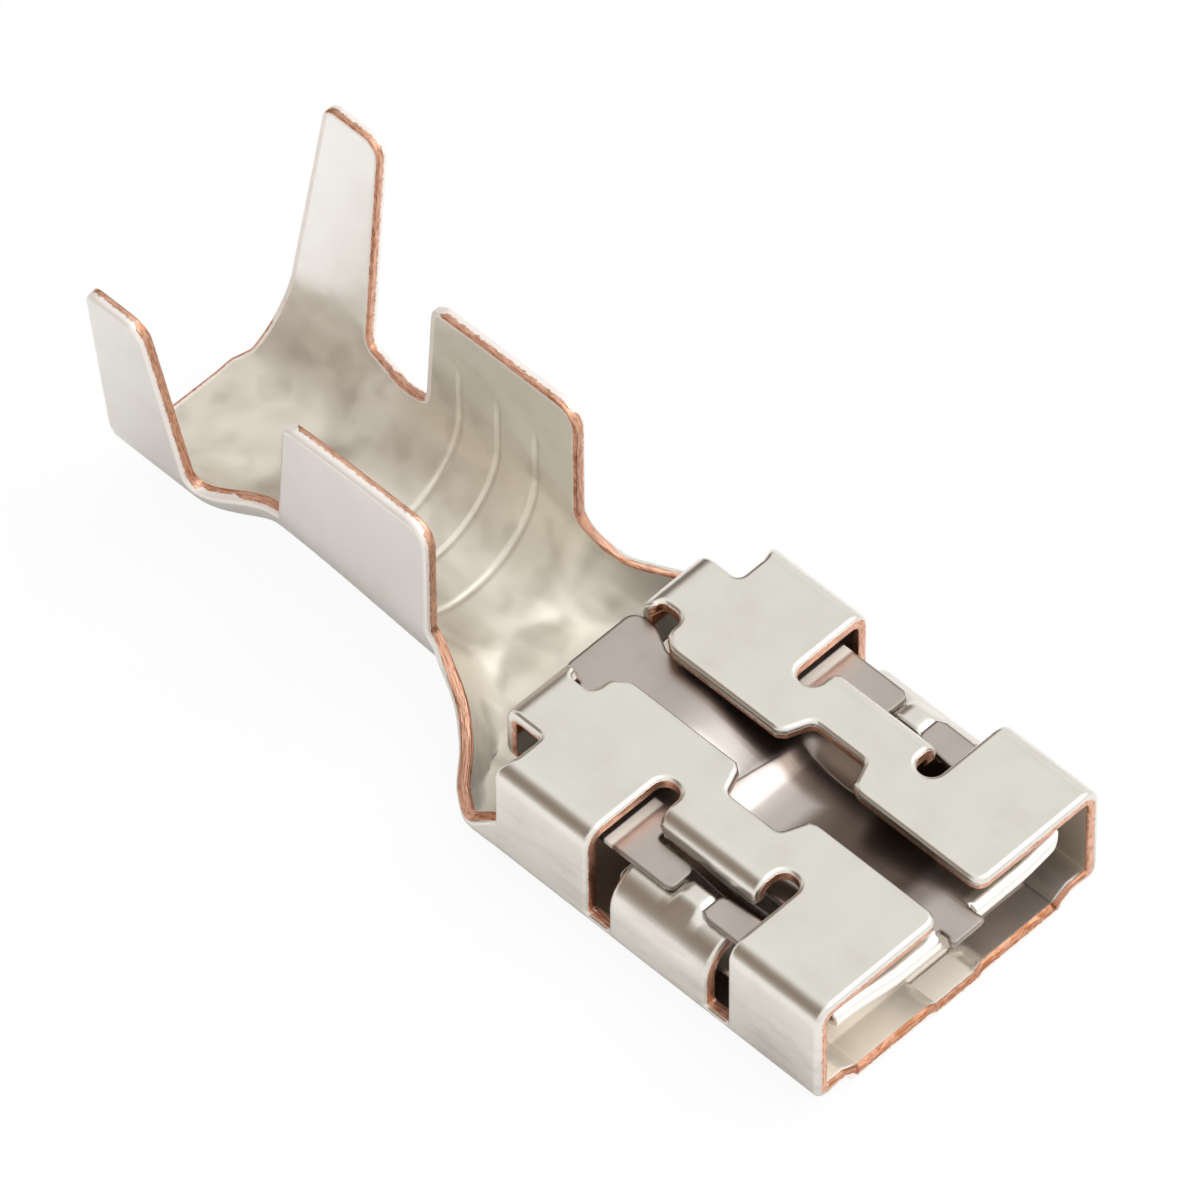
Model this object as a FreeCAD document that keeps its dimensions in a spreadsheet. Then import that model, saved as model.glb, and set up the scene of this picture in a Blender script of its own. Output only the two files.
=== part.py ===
import FreeCAD, Part
import math
import os
import Sketcher
from FreeCAD import Placement, Rotation, Vector

# Female spade connector: one folded sheet of tinned copper alloy that makes
# the blade box, the neck, the wire barrel and the insulation barrel, and a
# thin steel spring held inside the box. Millimetres, +X towards the mouth,
# +Z up, symmetric about Y = 0. Origin: middle of the length, on the plane
# that the lowest point of the mouth touches.

os.makedirs("parts", exist_ok=True)
doc = FreeCAD.newDocument("female_spade_connector")

# ---------------------------------------------------------------- sizes
SIZES = [
    ("sheet", 0.45, "thickness of the folded sheet"),
    ("box_width", 12.0, "outside width of the box"),
    ("box_height", 4.2, "outside height of the box"),
    ("box_length", 13.35, "length of the box walls"),
    ("top_bend", 0.7, "outside radius of the upper bends"),
    ("floor_bend", 0.4, "outside radius of the lower bends"),
    ("flange_gap", 1.64, "gap between the two flanges"),
    ("notch_front", 5.22, "front end of the flange notch, from the mouth"),
    ("notch_length", 2.92, "length of the flange notch at the edge"),
    ("notch_depth", 1.02, "depth of the flange notch"),
    ("notch_slant", 0.4, "run of the slanted ends of the notch"),
    ("slot_width", 0.88, "width of the side windows"),
    ("front_slot", 4.15, "front window centre, from the mouth"),
    ("rear_slot", 9.05, "rear window centre, from the mouth"),
    ("slot_end", 2.68, "distance of the window ends from the middle"),
    ("cheek_height", 2.9, "top of the low middle wall"),
    ("cheek_bend", 1.3, "outside radius of the low middle wall"),
    ("cheek_lip", 0.3, "straight run of its inward lip"),
    ("waist_half", 3.87, "half width over the turned down waist edges"),
    ("waist_drop", 1.0, "depth of the turned down waist edge"),
    ("waist_bend", 0.62, "outside radius of the waist edge"),
    ("tab_inner", 1.55, "inner edge of the rear closing tab"),
    ("tab_outer", 4.15, "outer edge of the rear closing tab"),
    ("tab_reach", 1.33, "reach of the closing tab behind the box"),
    ("tab_drop", 2.3, "height of the closing tab"),
    ("tab_bend", 0.6, "outside radius of the closing tab"),
    ("tab_front", 0.15, "front of the split between the closing tabs, before the box rear"),
    ("lead_length", 1.3, "length of the lowered lip of the mouth"),
    ("lead_ramp", 1.6, "length of the ramp behind that lip"),
    ("pad_drop", 0.42, "drop of the two outer pads of the lip"),
    ("channel_drop", 0.58, "drop of the middle channel of the lip"),
    ("pad_half", 4.4, "outer end of the pads"),
    ("channel_half", 1.3, "half width of the channel"),
    ("lip_step", 0.4, "width of the steps of the lip"),
    ("neck_length", 5.32, "length of the neck"),
    ("neck_height", 1.45, "height of the neck walls"),
    ("shoulder", 0.3, "bulge of the neck shoulders past the box walls"),
    ("wire_half", 3.4, "half width of the wire barrel"),
    ("wire_radius", 3.3, "outside radius of its bottom"),
    ("wire_height", 8.05, "height of the wire wings"),
    ("wire_back_drop", 0.1, "how much lower the wire wings are at their rear"),
    ("wire_length", 6.4, "length of the wire wings"),
    ("wire_taper", 0.3, "setback of the wire wing rear at the top"),
    ("wire_rise", 0.7, "rise of the barrel floor towards the rear"),
    ("barrel_gap", 3.17, "gap between wire and insulation wings"),
    ("gap_height", 3.1, "height of the sheet between the wings"),
    ("grip_half", 3.7, "half width of the insulation barrel at its floor"),
    ("grip_radius", 3.5, "outside radius of its bottom"),
    ("grip_height", 10.42, "height of the insulation wings"),
    ("grip_lean", 0.155, "outward lean of the insulation wings"),
    ("grip_length", 3.4, "length of the insulation wings at their root"),
    ("grip_taper", 0.52, "setback of the insulation wing front at the top"),
    ("tail_reach", 0.38, "reach of the floor behind the wings"),
    ("tail_half", 2.15, "half width of the tail"),
    ("tip_bevel", 0.24, "bevel on the tips of the wings"),
    ("tip_length", 0.55, "height of that bevel"),
    ("groove_first", 20.4, "first serration, from the mouth"),
    ("groove_pitch", 1.6, "spacing of the serrations"),
    ("groove_width", 0.34, "width of a serration"),
    ("groove_depth", 0.13, "depth of a serration"),
    ("groove_top", 5.6, "height that the serrations reach"),
    ("corner", 0.5, "corner radius of the blank"),
    ("steel", 0.25, "thickness of the spring"),
    ("steel_gap", 0.02, "clearance between spring and box"),
    ("steel_half", 5.1, "half width of the spring"),
    ("steel_rear_half", 1.42, "half width of its rear lip"),
    ("tongue_reach", 1.53, "reach of the rear lip behind the box"),
    ("tongue_gap", 0.4, "distance of the rear lip below the flanges"),
    ("shelf_gap", 0.12, "distance of the spring's rear sides below the flanges"),
    ("steel_lip_half", 0.68, "half width of its front lip"),
    ("steel_lip_reach", 0.5, "reach of the front lip past the mouth"),
    ("steel_notch", 1.3, "length of the notch between the side tabs"),
    ("slot_inner", 3.15, "inner edge of the slots beside the side tabs"),
    ("slot_outer", 3.97, "outer edge of those slots"),
    ("slot_rear", 8.5, "rear end of those slots, from the mouth"),
    ("slot_front", 3.9, "front end of those slots, from the mouth"),
    ("trough_drop", 0.6, "depth of the trough along the middle"),
    ("trough_half", 1.7, "half width of its bottom"),
    ("trough_foot", 2.6, "half width of its top"),
    ("trough_rear", 8.45, "rear end of the trough, from the mouth"),
    ("trough_front", 1.9, "front end of the trough, from the mouth"),
    ("stop_rise", 0.25, "rise of the stop on the cheek between the side tabs"),
    ("stop_length", 1.06, "length of that stop"),
    ("eye_reach", 1.95, "outer edge of the relief eye beside a closing tab"),
    ("steel_notch_shift", 0.12, "offset of that notch behind the middle of the windows"),
    ("nose_radius", 0.42, "outside radius of the curled noses"),
    ("nose_inner", 0.82, "inner end of the noses"),
    ("nose_outer", 4.95, "outer end of the noses"),
    ("beam_contact", 5.6, "contact line of the beams, from the mouth"),
    ("beam_length", 9.2, "rear end of the beams, from the mouth"),
    ("beam_gap", 0.72, "free gap between the beams and the floor"),
    ("beam_slit", 0.35, "slit between two beams"),
]

sheet = doc.addObject("Spreadsheet::Sheet", "Sizes")
for row, (alias, value, note) in enumerate(SIZES, start=1):
    sheet.set("A%d" % row, alias)
    sheet.set("B%d" % row, repr(value))
    sheet.set("C%d" % row, note)
    sheet.setAlias("B%d" % row, alias)
doc.recompute()


class Dim:
    """A length that keeps its value and the expression that gives it."""

    def __init__(self, value, text):
        self.value = float(value)
        self.text = text

    @staticmethod
    def of(other):
        if isinstance(other, Dim):
            return other
        return Dim(other, repr(float(other)))

    def join(self, sign, other, value):
        return Dim(value, "(%s %s %s)" % (self.text, sign, other.text))

    def __add__(self, other):
        other = Dim.of(other)
        return self.join("+", other, self.value + other.value)

    def __sub__(self, other):
        other = Dim.of(other)
        return self.join("-", other, self.value - other.value)

    def __mul__(self, other):
        other = Dim.of(other)
        return self.join("*", other, self.value * other.value)

    def __truediv__(self, other):
        other = Dim.of(other)
        return self.join("/", other, self.value / other.value)

    def __radd__(self, other):
        return Dim.of(other) + self

    def __rsub__(self, other):
        return Dim.of(other) - self

    def __rmul__(self, other):
        return Dim.of(other) * self

    def __neg__(self):
        return Dim.of(0.0) - self


def size(alias):
    return Dim(sheet.get(alias), "Sizes." + alias)


# ---------------------------------------------------------------- helpers
def plane(body, role):
    for feature in body.Origin.OriginFeatures:
        if feature.Role == role:
            return feature


def new_sketch(body, name, role, offset=None):
    """A sketch on an origin plane of its body, moved along the plane normal."""
    sketch = body.newObject("Sketcher::SketchObject", name)
    sketch.AttachmentSupport = [(plane(body, role), "")]
    sketch.MapMode = "FlatFace"
    if offset is not None:
        sketch.AttachmentOffset = Placement(Vector(0, 0, offset.value), Rotation())
        sketch.setExpression("AttachmentOffset.Base.z", offset.text)
    return sketch


def pin(sketch, geo, pos, x, y):
    """Fix a point at expression-bound coordinates."""
    for kind, dim in (("DistanceX", x), ("DistanceY", y)):
        index = sketch.addConstraint(Sketcher.Constraint(kind, -1, 1, geo, pos, dim.value))
        sketch.setExpression("Constraints[%d]" % index, dim.text)


def outline(sketch, corners):
    """Closed outline through corners (x, y) or (x, y, radius)."""
    pts = [Vector(Dim.of(c[0]).value, Dim.of(c[1]).value, 0) for c in corners]
    n = len(corners)
    heads, tails, arcs = [], [], []
    for i, corner in enumerate(corners):
        here, before, after = pts[i], pts[i - 1], pts[(i + 1) % n]
        if len(corner) < 3:
            heads.append(here)
            tails.append(here)
            arcs.append(None)
            continue
        radius = Dim.of(corner[2]).value
        u = (before - here).normalize()
        v = (after - here).normalize()
        half = math.acos(max(-1.0, min(1.0, u.dot(v)))) / 2
        reach = radius / math.tan(half)
        a, b = here + u * reach, here + v * reach
        centre = here + (u + v).normalize() * (radius / math.sin(half))
        middle = centre + (here - centre).normalize() * radius
        heads.append(a)
        tails.append(b)
        arcs.append(Part.Arc(a, middle, b))
    lines = [sketch.addGeometry(Part.LineSegment(tails[i], heads[(i + 1) % n]), False) for i in range(n)]
    for i, corner in enumerate(corners):
        into, away = lines[i - 1], lines[i]
        x, y = Dim.of(corner[0]), Dim.of(corner[1])
        if arcs[i] is None:
            sketch.addConstraint(Sketcher.Constraint("Coincident", into, 2, away, 1))
            pin(sketch, away, 1, x, y)
            continue
        arc = sketch.addGeometry(arcs[i], False)
        start = sketch.getPoint(arc, 1)
        first, last = (1, 2) if start.distanceToPoint(heads[i]) < 1e-6 else (2, 1)
        point = sketch.addGeometry(Part.Point(pts[i]), True)
        pin(sketch, point, 1, x, y)
        sketch.addConstraint(Sketcher.Constraint("PointOnObject", point, 1, into))
        sketch.addConstraint(Sketcher.Constraint("PointOnObject", point, 1, away))
        sketch.addConstraint(Sketcher.Constraint("Tangent", into, 2, arc, first))
        sketch.addConstraint(Sketcher.Constraint("Tangent", arc, last, away, 1))
        radius = Dim.of(corner[2])
        index = sketch.addConstraint(Sketcher.Constraint("Radius", arc, radius.value))
        sketch.setExpression("Constraints[%d]" % index, radius.text)


def pad(body, name, sketch, length, midplane=False, reverse=False):
    feature = body.newObject("PartDesign::Pad", name)
    feature.Profile = sketch
    feature.Length = length.value
    feature.setExpression("Length", length.text)
    if midplane:
        feature.SideType = "Symmetric"
    feature.Reversed = reverse
    sketch.Visibility = False
    doc.recompute()
    return feature


def pocket(body, name, sketch, length, midplane=False, reverse=False):
    before = body.Shape.Volume
    feature = body.newObject("PartDesign::Pocket", name)
    feature.Profile = sketch
    feature.Length = length.value
    feature.setExpression("Length", length.text)
    if midplane:
        feature.SideType = "Symmetric"
    feature.Reversed = reverse
    sketch.Visibility = False
    doc.recompute()
    if not body.Shape.Volume < before - 1e-6:
        raise RuntimeError(name + " cuts nothing")
    return feature


def loft(body, name, sections, ruled=True):
    feature = body.newObject("PartDesign::AdditiveLoft", name)
    feature.Profile = sections[0]
    feature.Sections = sections[1:]
    feature.Ruled = ruled
    doc.recompute()
    return feature


def both_sides(sketch, corners):
    """The outline and its mirror image across the middle plane."""
    outline(sketch, corners)
    outline(sketch, [(-Dim.of(c[0]),) + tuple(c[1:]) for c in reversed(corners)])


# ---------------------------------------------------------------- frame
thick = size("sheet")
length = (size("box_length") + size("neck_length") + size("wire_length") + size("barrel_gap")
          + size("grip_length") + size("tail_reach") + size("steel_lip_reach"))
mouth = length / 2 - size("steel_lip_reach")
base = size("channel_drop")              # underside of the box floor
half = size("box_width") / 2
top = base + size("box_height")
under = top - thick                      # underside of the flanges
box_rear = mouth - size("box_length")
gap_half = size("flange_gap") / 2
slot = size("slot_width")
front_slot = mouth - size("front_slot")
rear_slot = mouth - size("rear_slot")
far = 2.0                                # how far a cut runs past the sheet

# ---------------------------------------------------------------- sheet
terminal = doc.addObject("PartDesign::Body", "terminal_body")
terminal.Label = "terminal_body"

# The box: floor, walls and two flanges, folded from one strip.
section = new_sketch(terminal, "box_section", "YZ_Plane", box_rear)
r_top, r_low = size("top_bend"), size("floor_bend")
outline(section, [
    (gap_half, top), (half, top, r_top), (half, base, r_low),
    (-half, base, r_low), (-half, top, r_top), (-gap_half, top),
    (-gap_half, under), (-(half - thick), under, r_top - thick),
    (-(half - thick), base + thick, 0.15), (half - thick, base + thick, 0.15),
    (half - thick, under, r_top - thick), (gap_half, under),
])
pad(terminal, "box", section, size("box_length"))

# The lowered lip of the mouth: two pads and a middle channel.
pads, channel, step = size("pad_half"), size("channel_half"), size("lip_step")
lead = mouth - size("lead_length")
ramp = lead - size("lead_ramp")


def lip_section(name, place, drop_pad, drop_channel):
    sketch = new_sketch(terminal, name, "YZ_Plane", place)
    levels = [(pads, Dim.of(0.0)), (pads - step, drop_pad), (channel, drop_pad), (channel - step, drop_channel)]
    run = [(y, base - drop) for y, drop in levels] + [(-y, base - drop) for y, drop in reversed(levels)]
    outline(sketch, run + [(y, z + thick) for y, z in reversed(run)])
    return sketch


window = new_sketch(terminal, "lip_window", "XY_Plane", base + thick + 0.5)
outline(window, [(ramp, -pads), (mouth + far, -pads), (mouth + far, pads), (ramp, pads)])
pocket(terminal, "lip_cut", window, thick + 1.0)
nothing = Dim.of(0.001)
loft(terminal, "lip", [
    lip_section("lip_root", ramp, nothing, nothing * 2),
    lip_section("lip_knee", lead, size("pad_drop"), size("channel_drop")),
    lip_section("lip_front", mouth, size("pad_drop"), size("channel_drop")),
])

# The neck and the two barrels: open U sections from the box to the tail.
neck_end = box_rear - size("neck_length")
wire_rear = neck_end - size("wire_length")
grip_front = wire_rear - size("barrel_gap")
grip_rear = grip_front - size("grip_length")
tail = grip_rear - size("tail_reach")
wire_half, wire_radius = size("wire_half"), size("wire_radius")
rise = size("wire_rise")
grip_half, grip_radius, lean = size("grip_half"), size("grip_radius"), size("grip_lean")


def u_section(name, place, width, radius, floor, height, slope):
    """Open U: half width at the floor line, bottom radius, wall slope."""
    sketch = new_sketch(terminal, name, "YZ_Plane", place)
    tall = height - floor
    side = width + slope * tall
    shift = thick * (1.0 - slope)
    outline(sketch, [
        (side, height), (width, floor, radius), (-width, floor, radius), (-side, height),
        (-(side - thick), height), (-(width - shift), floor + thick, radius - thick),
        (width - shift, floor + thick, radius - thick), (side - thick, height),
    ])
    return sketch


none = Dim.of(0.0)
crown = base + size("grip_height") + 1.0
spread = half - wire_half
low = base + size("neck_height") + 2.6
neck = size("neck_length")
sections = [
    u_section("neck_box", box_rear, half, r_low + 0.1, base, low, none),
    u_section("neck_flare", box_rear - neck * 0.17, half + size("shoulder"), r_low + 0.15, base, low, none),
    u_section("neck_shoulder", box_rear - neck * 0.37, half - spread * 0.04, wire_radius * 0.3, base, low, none),
    u_section("neck_slope", box_rear - neck * 0.51, half - spread * 0.45, wire_radius * 0.42, base, low, none),
    u_section("neck_waist", box_rear - neck * 0.73, wire_half + spread * 0.19, wire_radius * 0.62, base + rise * 0.1, low, none),
    u_section("wire_front", neck_end, wire_half, wire_radius, base + rise * 0.25, crown, none),
    u_section("wire_back", wire_rear - size("barrel_gap") * 0.1, wire_half, wire_radius, base + rise, crown, none),
    u_section("grip_start", grip_front + 0.05, grip_half, grip_radius, base + rise * 0.25, crown, lean),
    u_section("grip_end", tail, grip_half, grip_radius, base + rise * 0.25, crown, lean),
]
loft(terminal, "barrels", sections)

# Side outline of the wings, the gap between them and the neck.
corner = size("corner")
wire_top = base + size("wire_height")
grip_top = base + size("grip_height")
neck_top = base + size("neck_height")
gap_top = base + size("gap_height")
grip_taper = size("grip_taper")
tail_top = base + rise * 0.25 + 1.35
side = new_sketch(terminal, "wing_outline", "XZ_Plane")
outline(side, [
    (tail - far, tail_top), (grip_rear, tail_top, corner),
    (grip_rear + grip_taper, grip_top, corner * 0.8), (grip_front - grip_taper, grip_top, corner * 1.4),
    (grip_front, gap_top - 0.45, corner), (wire_rear - size("barrel_gap") * 0.28, gap_top, corner * 2),
    (wire_rear, gap_top + 0.25, corner * 0.5), (wire_rear + size("wire_taper"), wire_top - size("wire_back_drop"), corner * 0.7),
    (neck_end, wire_top, corner * 1.4), (neck_end, neck_top + 1.3, corner * 2.4), (box_rear - neck * 0.75, neck_top + 0.5, corner * 2),
    (box_rear - neck * 0.50, neck_top, corner * 2), (box_rear, neck_top), (box_rear, low + 1.0),
    (neck_end + 0.5, crown + 1.0), (tail - far, crown + 1.0),
])
pocket(terminal, "wings", side, size("box_width") * 2.5, midplane=True)

# Plan of the tail.
plan = new_sketch(terminal, "tail_plan", "XY_Plane", base + rise + 3.0)
tail_half = size("tail_half")
outline(plan, [(tail - far, tail_half - corner), (tail, tail_half - corner), (tail + corner, tail_half), (grip_rear, tail_half + 0.2), (grip_rear, half), (tail - far, half)])
outline(plan, [(tail - far, -(tail_half - corner)), (tail - far, -half), (grip_rear, -half), (grip_rear, -(tail_half + 0.2)), (tail + corner, -tail_half), (tail, -(tail_half - corner))])
pocket(terminal, "tail_corners", plan, Dim.of(3.0) + rise)

# Bevels on the outside of the wing tips.
bevel, bevel_run = size("tip_bevel"), size("tip_length")


def tip_bevel(name, start, end, width, floor, peak, slope):
    sketch = new_sketch(terminal, name + "_section", "YZ_Plane", start)
    outer = width + slope * (peak - floor)
    lower = width + slope * (peak - bevel_run - floor)
    both_sides(sketch, [(outer - bevel, peak), (lower, peak - bevel_run), (outer + 1.0, peak - bevel_run), (outer + 1.0, peak + 1.0), (outer - bevel, peak + 1.0)])
    pocket(terminal, name, sketch, end - start, reverse=True)


tip_bevel("grip_bevel", tail, grip_front + 0.5, grip_half, base + rise * 0.25, grip_top, lean)
tip_bevel("wire_bevel", wire_rear - 0.5, neck_end + 0.3, wire_half, base, wire_top, none)

# Serrations across the inside of the wire barrel.
for number in range(3):
    centre = mouth - size("groove_first") - size("groove_pitch") * float(number)
    level = base + rise * (0.25 + 0.75 * ((neck_end - centre) / size("wire_length")))
    deep = size("groove_depth")
    inner = wire_half - thick
    ring = new_sketch(terminal, "groove_section_%d" % number, "YZ_Plane", centre - size("groove_width") / 2)
    reach = base + size("groove_top")
    outline(ring, [
        (inner + deep, reach), (inner + deep, level + thick - deep, wire_radius - thick + deep),
        (-(inner + deep), level + thick - deep, wire_radius - thick + deep), (-(inner + deep), reach),
        (-(inner - 0.3), reach), (-(inner - 0.3), level + thick + 0.3, wire_radius - thick - 0.3),
        (inner - 0.3, level + thick + 0.3, wire_radius - thick - 0.3), (inner - 0.3, reach),
    ])
    pocket(terminal, "groove_%d" % number, ring, size("groove_width"), reverse=True)

# Notch in the inner edge of each flange.
notch = new_sketch(terminal, "notch_plan", "XY_Plane", top + 0.5)
n_front = mouth - size("notch_front")
n_rear = n_front - size("notch_length")
n_deep = gap_half + size("notch_depth")
slant = size("notch_slant")
outline(notch, [
    (n_rear, -gap_half), (n_rear + slant, -n_deep, 0.25), (n_front - slant, -n_deep, 0.25), (n_front, -gap_half),
    (n_front, gap_half), (n_front - slant, n_deep, 0.25), (n_rear + slant, n_deep, 0.25), (n_rear, gap_half),
])
pocket(terminal, "flange_notch", notch, thick + 1.0)

# Side windows: two slots on each side, round ended in the flange.
round_end = slot / 2 - 0.01
for name, centre in (("front", front_slot), ("rear", rear_slot)):
    a, b = centre - slot / 2, centre + slot / 2
    inner = size("slot_end")
    plan = new_sketch(terminal, name + "_slot_plan", "XY_Plane", top + 0.5)
    outline(plan, [(a, inner, round_end), (b, inner, round_end), (b, half + far), (a, half + far)])
    outline(plan, [(a, -(half + far)), (b, -(half + far)), (b, -inner, round_end), (a, -inner, round_end)])
    pocket(terminal, name + "_slot_top", plan, size("box_height") / 2 + 0.5)
    face = new_sketch(terminal, name + "_slot_side", "YZ_Plane", a)
    both_sides(face, [(half - thick - 0.4, base + thick + 0.02), (half + far, base + thick + 0.02), (half + far, top), (half - thick - 0.4, top)])
    pocket(terminal, name + "_slot_wall", face, slot, reverse=True)

# Between the windows: the flange waist with its edges turned down and the
# low cheek that curls inward below them.
mid_front = front_slot - slot / 2
mid_rear = rear_slot + slot / 2
mid_length = mid_front - mid_rear
waist, waist_bend = size("waist_half"), size("waist_bend")
cheek = base + size("cheek_height")
clear = new_sketch(terminal, "waist_clear", "YZ_Plane", mid_rear)
both_sides(clear, [(waist - waist_bend, under - 0.5), (waist - waist_bend, top + far), (half + far, top + far), (half + far, cheek - size("cheek_bend")), (half - thick - 0.6, cheek - size("cheek_bend"))])
pocket(terminal, "waist_cut", clear, mid_length, reverse=True)
lip = new_sketch(terminal, "waist_lip", "YZ_Plane", mid_rear)
both_sides(lip, [(waist - waist_bend - 0.1, top), (waist, top, waist_bend), (waist, top - size("waist_drop")), (waist - thick, top - size("waist_drop")), (waist - thick, under, waist_bend - thick), (waist - waist_bend - 0.1, under)])
pad(terminal, "waist_edges", lip, mid_length)
curl = new_sketch(terminal, "cheek_section", "YZ_Plane", mid_rear)
cheek_bend = size("cheek_bend")
reach = half - cheek_bend - size("cheek_lip")
both_sides(curl, [(half, cheek - cheek_bend - 0.1), (half, cheek, cheek_bend), (reach, cheek), (reach, cheek - thick), (half - thick, cheek - thick, cheek_bend - thick), (half - thick, cheek - cheek_bend - 0.1)])
pad(terminal, "cheeks", curl, mid_length)
stop_length = size("stop_length")
stop_middle = (front_slot + rear_slot) / 2 - size("steel_notch_shift")
stop = new_sketch(terminal, "stop_section", "YZ_Plane", stop_middle - stop_length / 2)
both_sides(stop, [(reach, cheek - thick / 2), (reach, cheek + size("stop_rise")), (reach + 0.7, cheek + size("stop_rise")), (reach + 0.95, cheek - thick / 2)])
pad(terminal, "stops", stop, stop_length)

# Closing tabs at the rear of the flanges.
tab_rear = box_rear - size("tab_reach")
tab_bend = size("tab_bend")
tab = new_sketch(terminal, "tab_side", "XZ_Plane")
outline(tab, [(box_rear, top), (tab_rear, top, tab_bend), (tab_rear, top - size("tab_drop")), (tab_rear + thick, top - size("tab_drop")), (tab_rear + thick, under, tab_bend - thick), (box_rear, under)])
pad(terminal, "rear_tabs", tab, size("tab_outer") * 2, midplane=True)
between = new_sketch(terminal, "tab_gap", "XY_Plane", top + 0.5)
outline(between, [(tab_rear - far, -size("tab_inner")), (box_rear + size("tab_front"), -size("tab_inner"), 0.05), (box_rear + size("tab_front"), size("tab_inner"), 0.05), (tab_rear - far, size("tab_inner"))])
pocket(terminal, "tab_split", between, size("tab_drop") + 1.0)
eye = new_sketch(terminal, "rear_eyes", "XY_Plane", top + 0.5)
eye_in, eye_out = size("tab_outer"), half - r_top
outline(eye, [(box_rear - far, eye_in), (box_rear + 0.25, eye_in, 0.24), (box_rear + 0.25, eye_out, 0.24), (box_rear - far, eye_out)])
outline(eye, [(box_rear - far, -eye_out), (box_rear + 0.25, -eye_out, 0.24), (box_rear + 0.25, -eye_in, 0.24), (box_rear - far, -eye_in)])
pocket(terminal, "rear_eye_cut", eye, size("box_height") / 3 + 0.5)
relief = new_sketch(terminal, "inner_eyes", "XY_Plane", top + 0.5)
eye_rear, eye_front = box_rear - size("tab_reach") + tab_bend + 0.03, box_rear + size("tab_front")
eye_far, eye_near = size("eye_reach"), size("tab_inner") - 0.3
outline(relief, [(eye_rear, eye_near), (eye_front, eye_near), (eye_front, eye_far, 0.3), (eye_rear, eye_far, 0.3)])
outline(relief, [(eye_rear, -eye_far, 0.3), (eye_front, -eye_far, 0.3), (eye_front, -eye_near), (eye_rear, -eye_near)])
pocket(terminal, "inner_eye_cut", relief, thick + 0.6)

# ---------------------------------------------------------------- spring
spring = doc.addObject("PartDesign::Body", "spring_insert")
spring.Label = "spring_insert"
steel = size("steel")
fit = size("steel_gap")
seat = cheek + fit                        # the side tabs lie on the cheeks
deck = seat + steel                       # top face of the spring
s_half = size("steel_half")
front_top = deck + 0.1
s_front = mouth + size("steel_lip_reach")
steel_rear = box_rear - size("tongue_reach")
trough_rear, trough_front = mouth - size("trough_rear"), mouth - size("trough_front")


def deck_section(name, place, sides, middle):
    """Cross section of the deck: its height at the sides and along the middle."""
    sketch = new_sketch(spring, name, "YZ_Plane", place)
    foot, floor = size("trough_foot"), size("trough_half")
    run = [(-s_half, sides), (-foot, sides), (-floor, middle), (floor, middle), (foot, sides), (s_half, sides)]
    outline(sketch, run + [(y, z - steel) for y, z in reversed(run)])
    return sketch


# The deck: high sides below the flanges at the rear, a trough along its
# middle, and a flat front lip.
drop = size("trough_drop")
shelf_top = under - size("shelf_gap")
tongue_top = under - size("tongue_gap")
loft(spring, "deck", [
    deck_section("deck_tail", steel_rear, tongue_top, tongue_top - 0.001),
    deck_section("deck_throat", box_rear + 0.35, tongue_top, tongue_top - 0.001),
    deck_section("deck_shelf", box_rear + 0.8, shelf_top, tongue_top),
    deck_section("deck_shelf_end", rear_slot - slot * 0.45, shelf_top, tongue_top - 0.2),
    deck_section("deck_tabs", rear_slot, deck + 0.03, tongue_top - 0.24),
    deck_section("trough_start", trough_rear, deck, tongue_top - 0.3),
    deck_section("trough_low", trough_rear + 0.9, deck, deck - drop),
    deck_section("trough_high", trough_front - 1.3, deck, deck - drop),
    deck_section("trough_end", trough_front, deck, deck - 0.001),
    deck_section("deck_lip", mouth - 1.0, front_top, front_top - 0.001),
    deck_section("deck_front", s_front, front_top, front_top - 0.001),
])

plan = new_sketch(spring, "deck_plan", "XY_Plane", top + 0.5)
rear_half = size("steel_rear_half")
outline(plan, [(tab_rear - 1.0, rear_half), (box_rear + 0.35, rear_half), (box_rear + 0.35, s_half + 1.0), (tab_rear - 1.0, s_half + 1.0)])
outline(plan, [(tab_rear - 1.0, -(s_half + 1.0)), (box_rear + 0.35, -(s_half + 1.0)), (box_rear + 0.35, -rear_half), (tab_rear - 1.0, -rear_half)])
pocket(spring, "rear_lip", plan, size("box_height"))
plan = new_sketch(spring, "front_plan", "XY_Plane", top + 0.5)
lip_half = size("steel_lip_half")
nose = size("nose_radius")
nose_front = mouth + 0.12
front_cut = nose_front - nose - 0.05
outline(plan, [(front_cut, lip_half), (s_front + 1.0, lip_half), (s_front + 1.0, s_half + 1.0), (front_cut, s_half + 1.0)])
outline(plan, [(front_cut, -(s_half + 1.0)), (s_front + 1.0, -(s_half + 1.0)), (s_front + 1.0, -lip_half), (front_cut, -lip_half)])
pocket(spring, "front_lip", plan, size("box_height"))
plan = new_sketch(spring, "notch_between_tabs", "XY_Plane", top + 0.5)
middle = (front_slot + rear_slot) / 2 - size("steel_notch_shift")
n_half = size("steel_notch") / 2
n_in = size("slot_outer") - 0.05
outline(plan, [(middle - n_half, n_in), (middle + n_half, n_in), (middle + n_half, s_half + 1.0), (middle - n_half, s_half + 1.0)])
outline(plan, [(middle - n_half, -(s_half + 1.0)), (middle + n_half, -(s_half + 1.0)), (middle + n_half, -n_in), (middle - n_half, -n_in)])
pocket(spring, "tab_notch", plan, size("box_height"))
plan = new_sketch(spring, "slots_beside_tabs", "XY_Plane", top + 0.5)
slot_in, slot_out = size("slot_inner"), size("slot_outer")
slot_a, slot_b = mouth - size("slot_rear"), mouth - size("slot_front")
both_sides(plan, [(slot_a, slot_in), (slot_b, slot_in), (slot_b, slot_out), (slot_a, slot_out)])
pocket(spring, "tab_slots", plan, size("box_height"))

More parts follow.
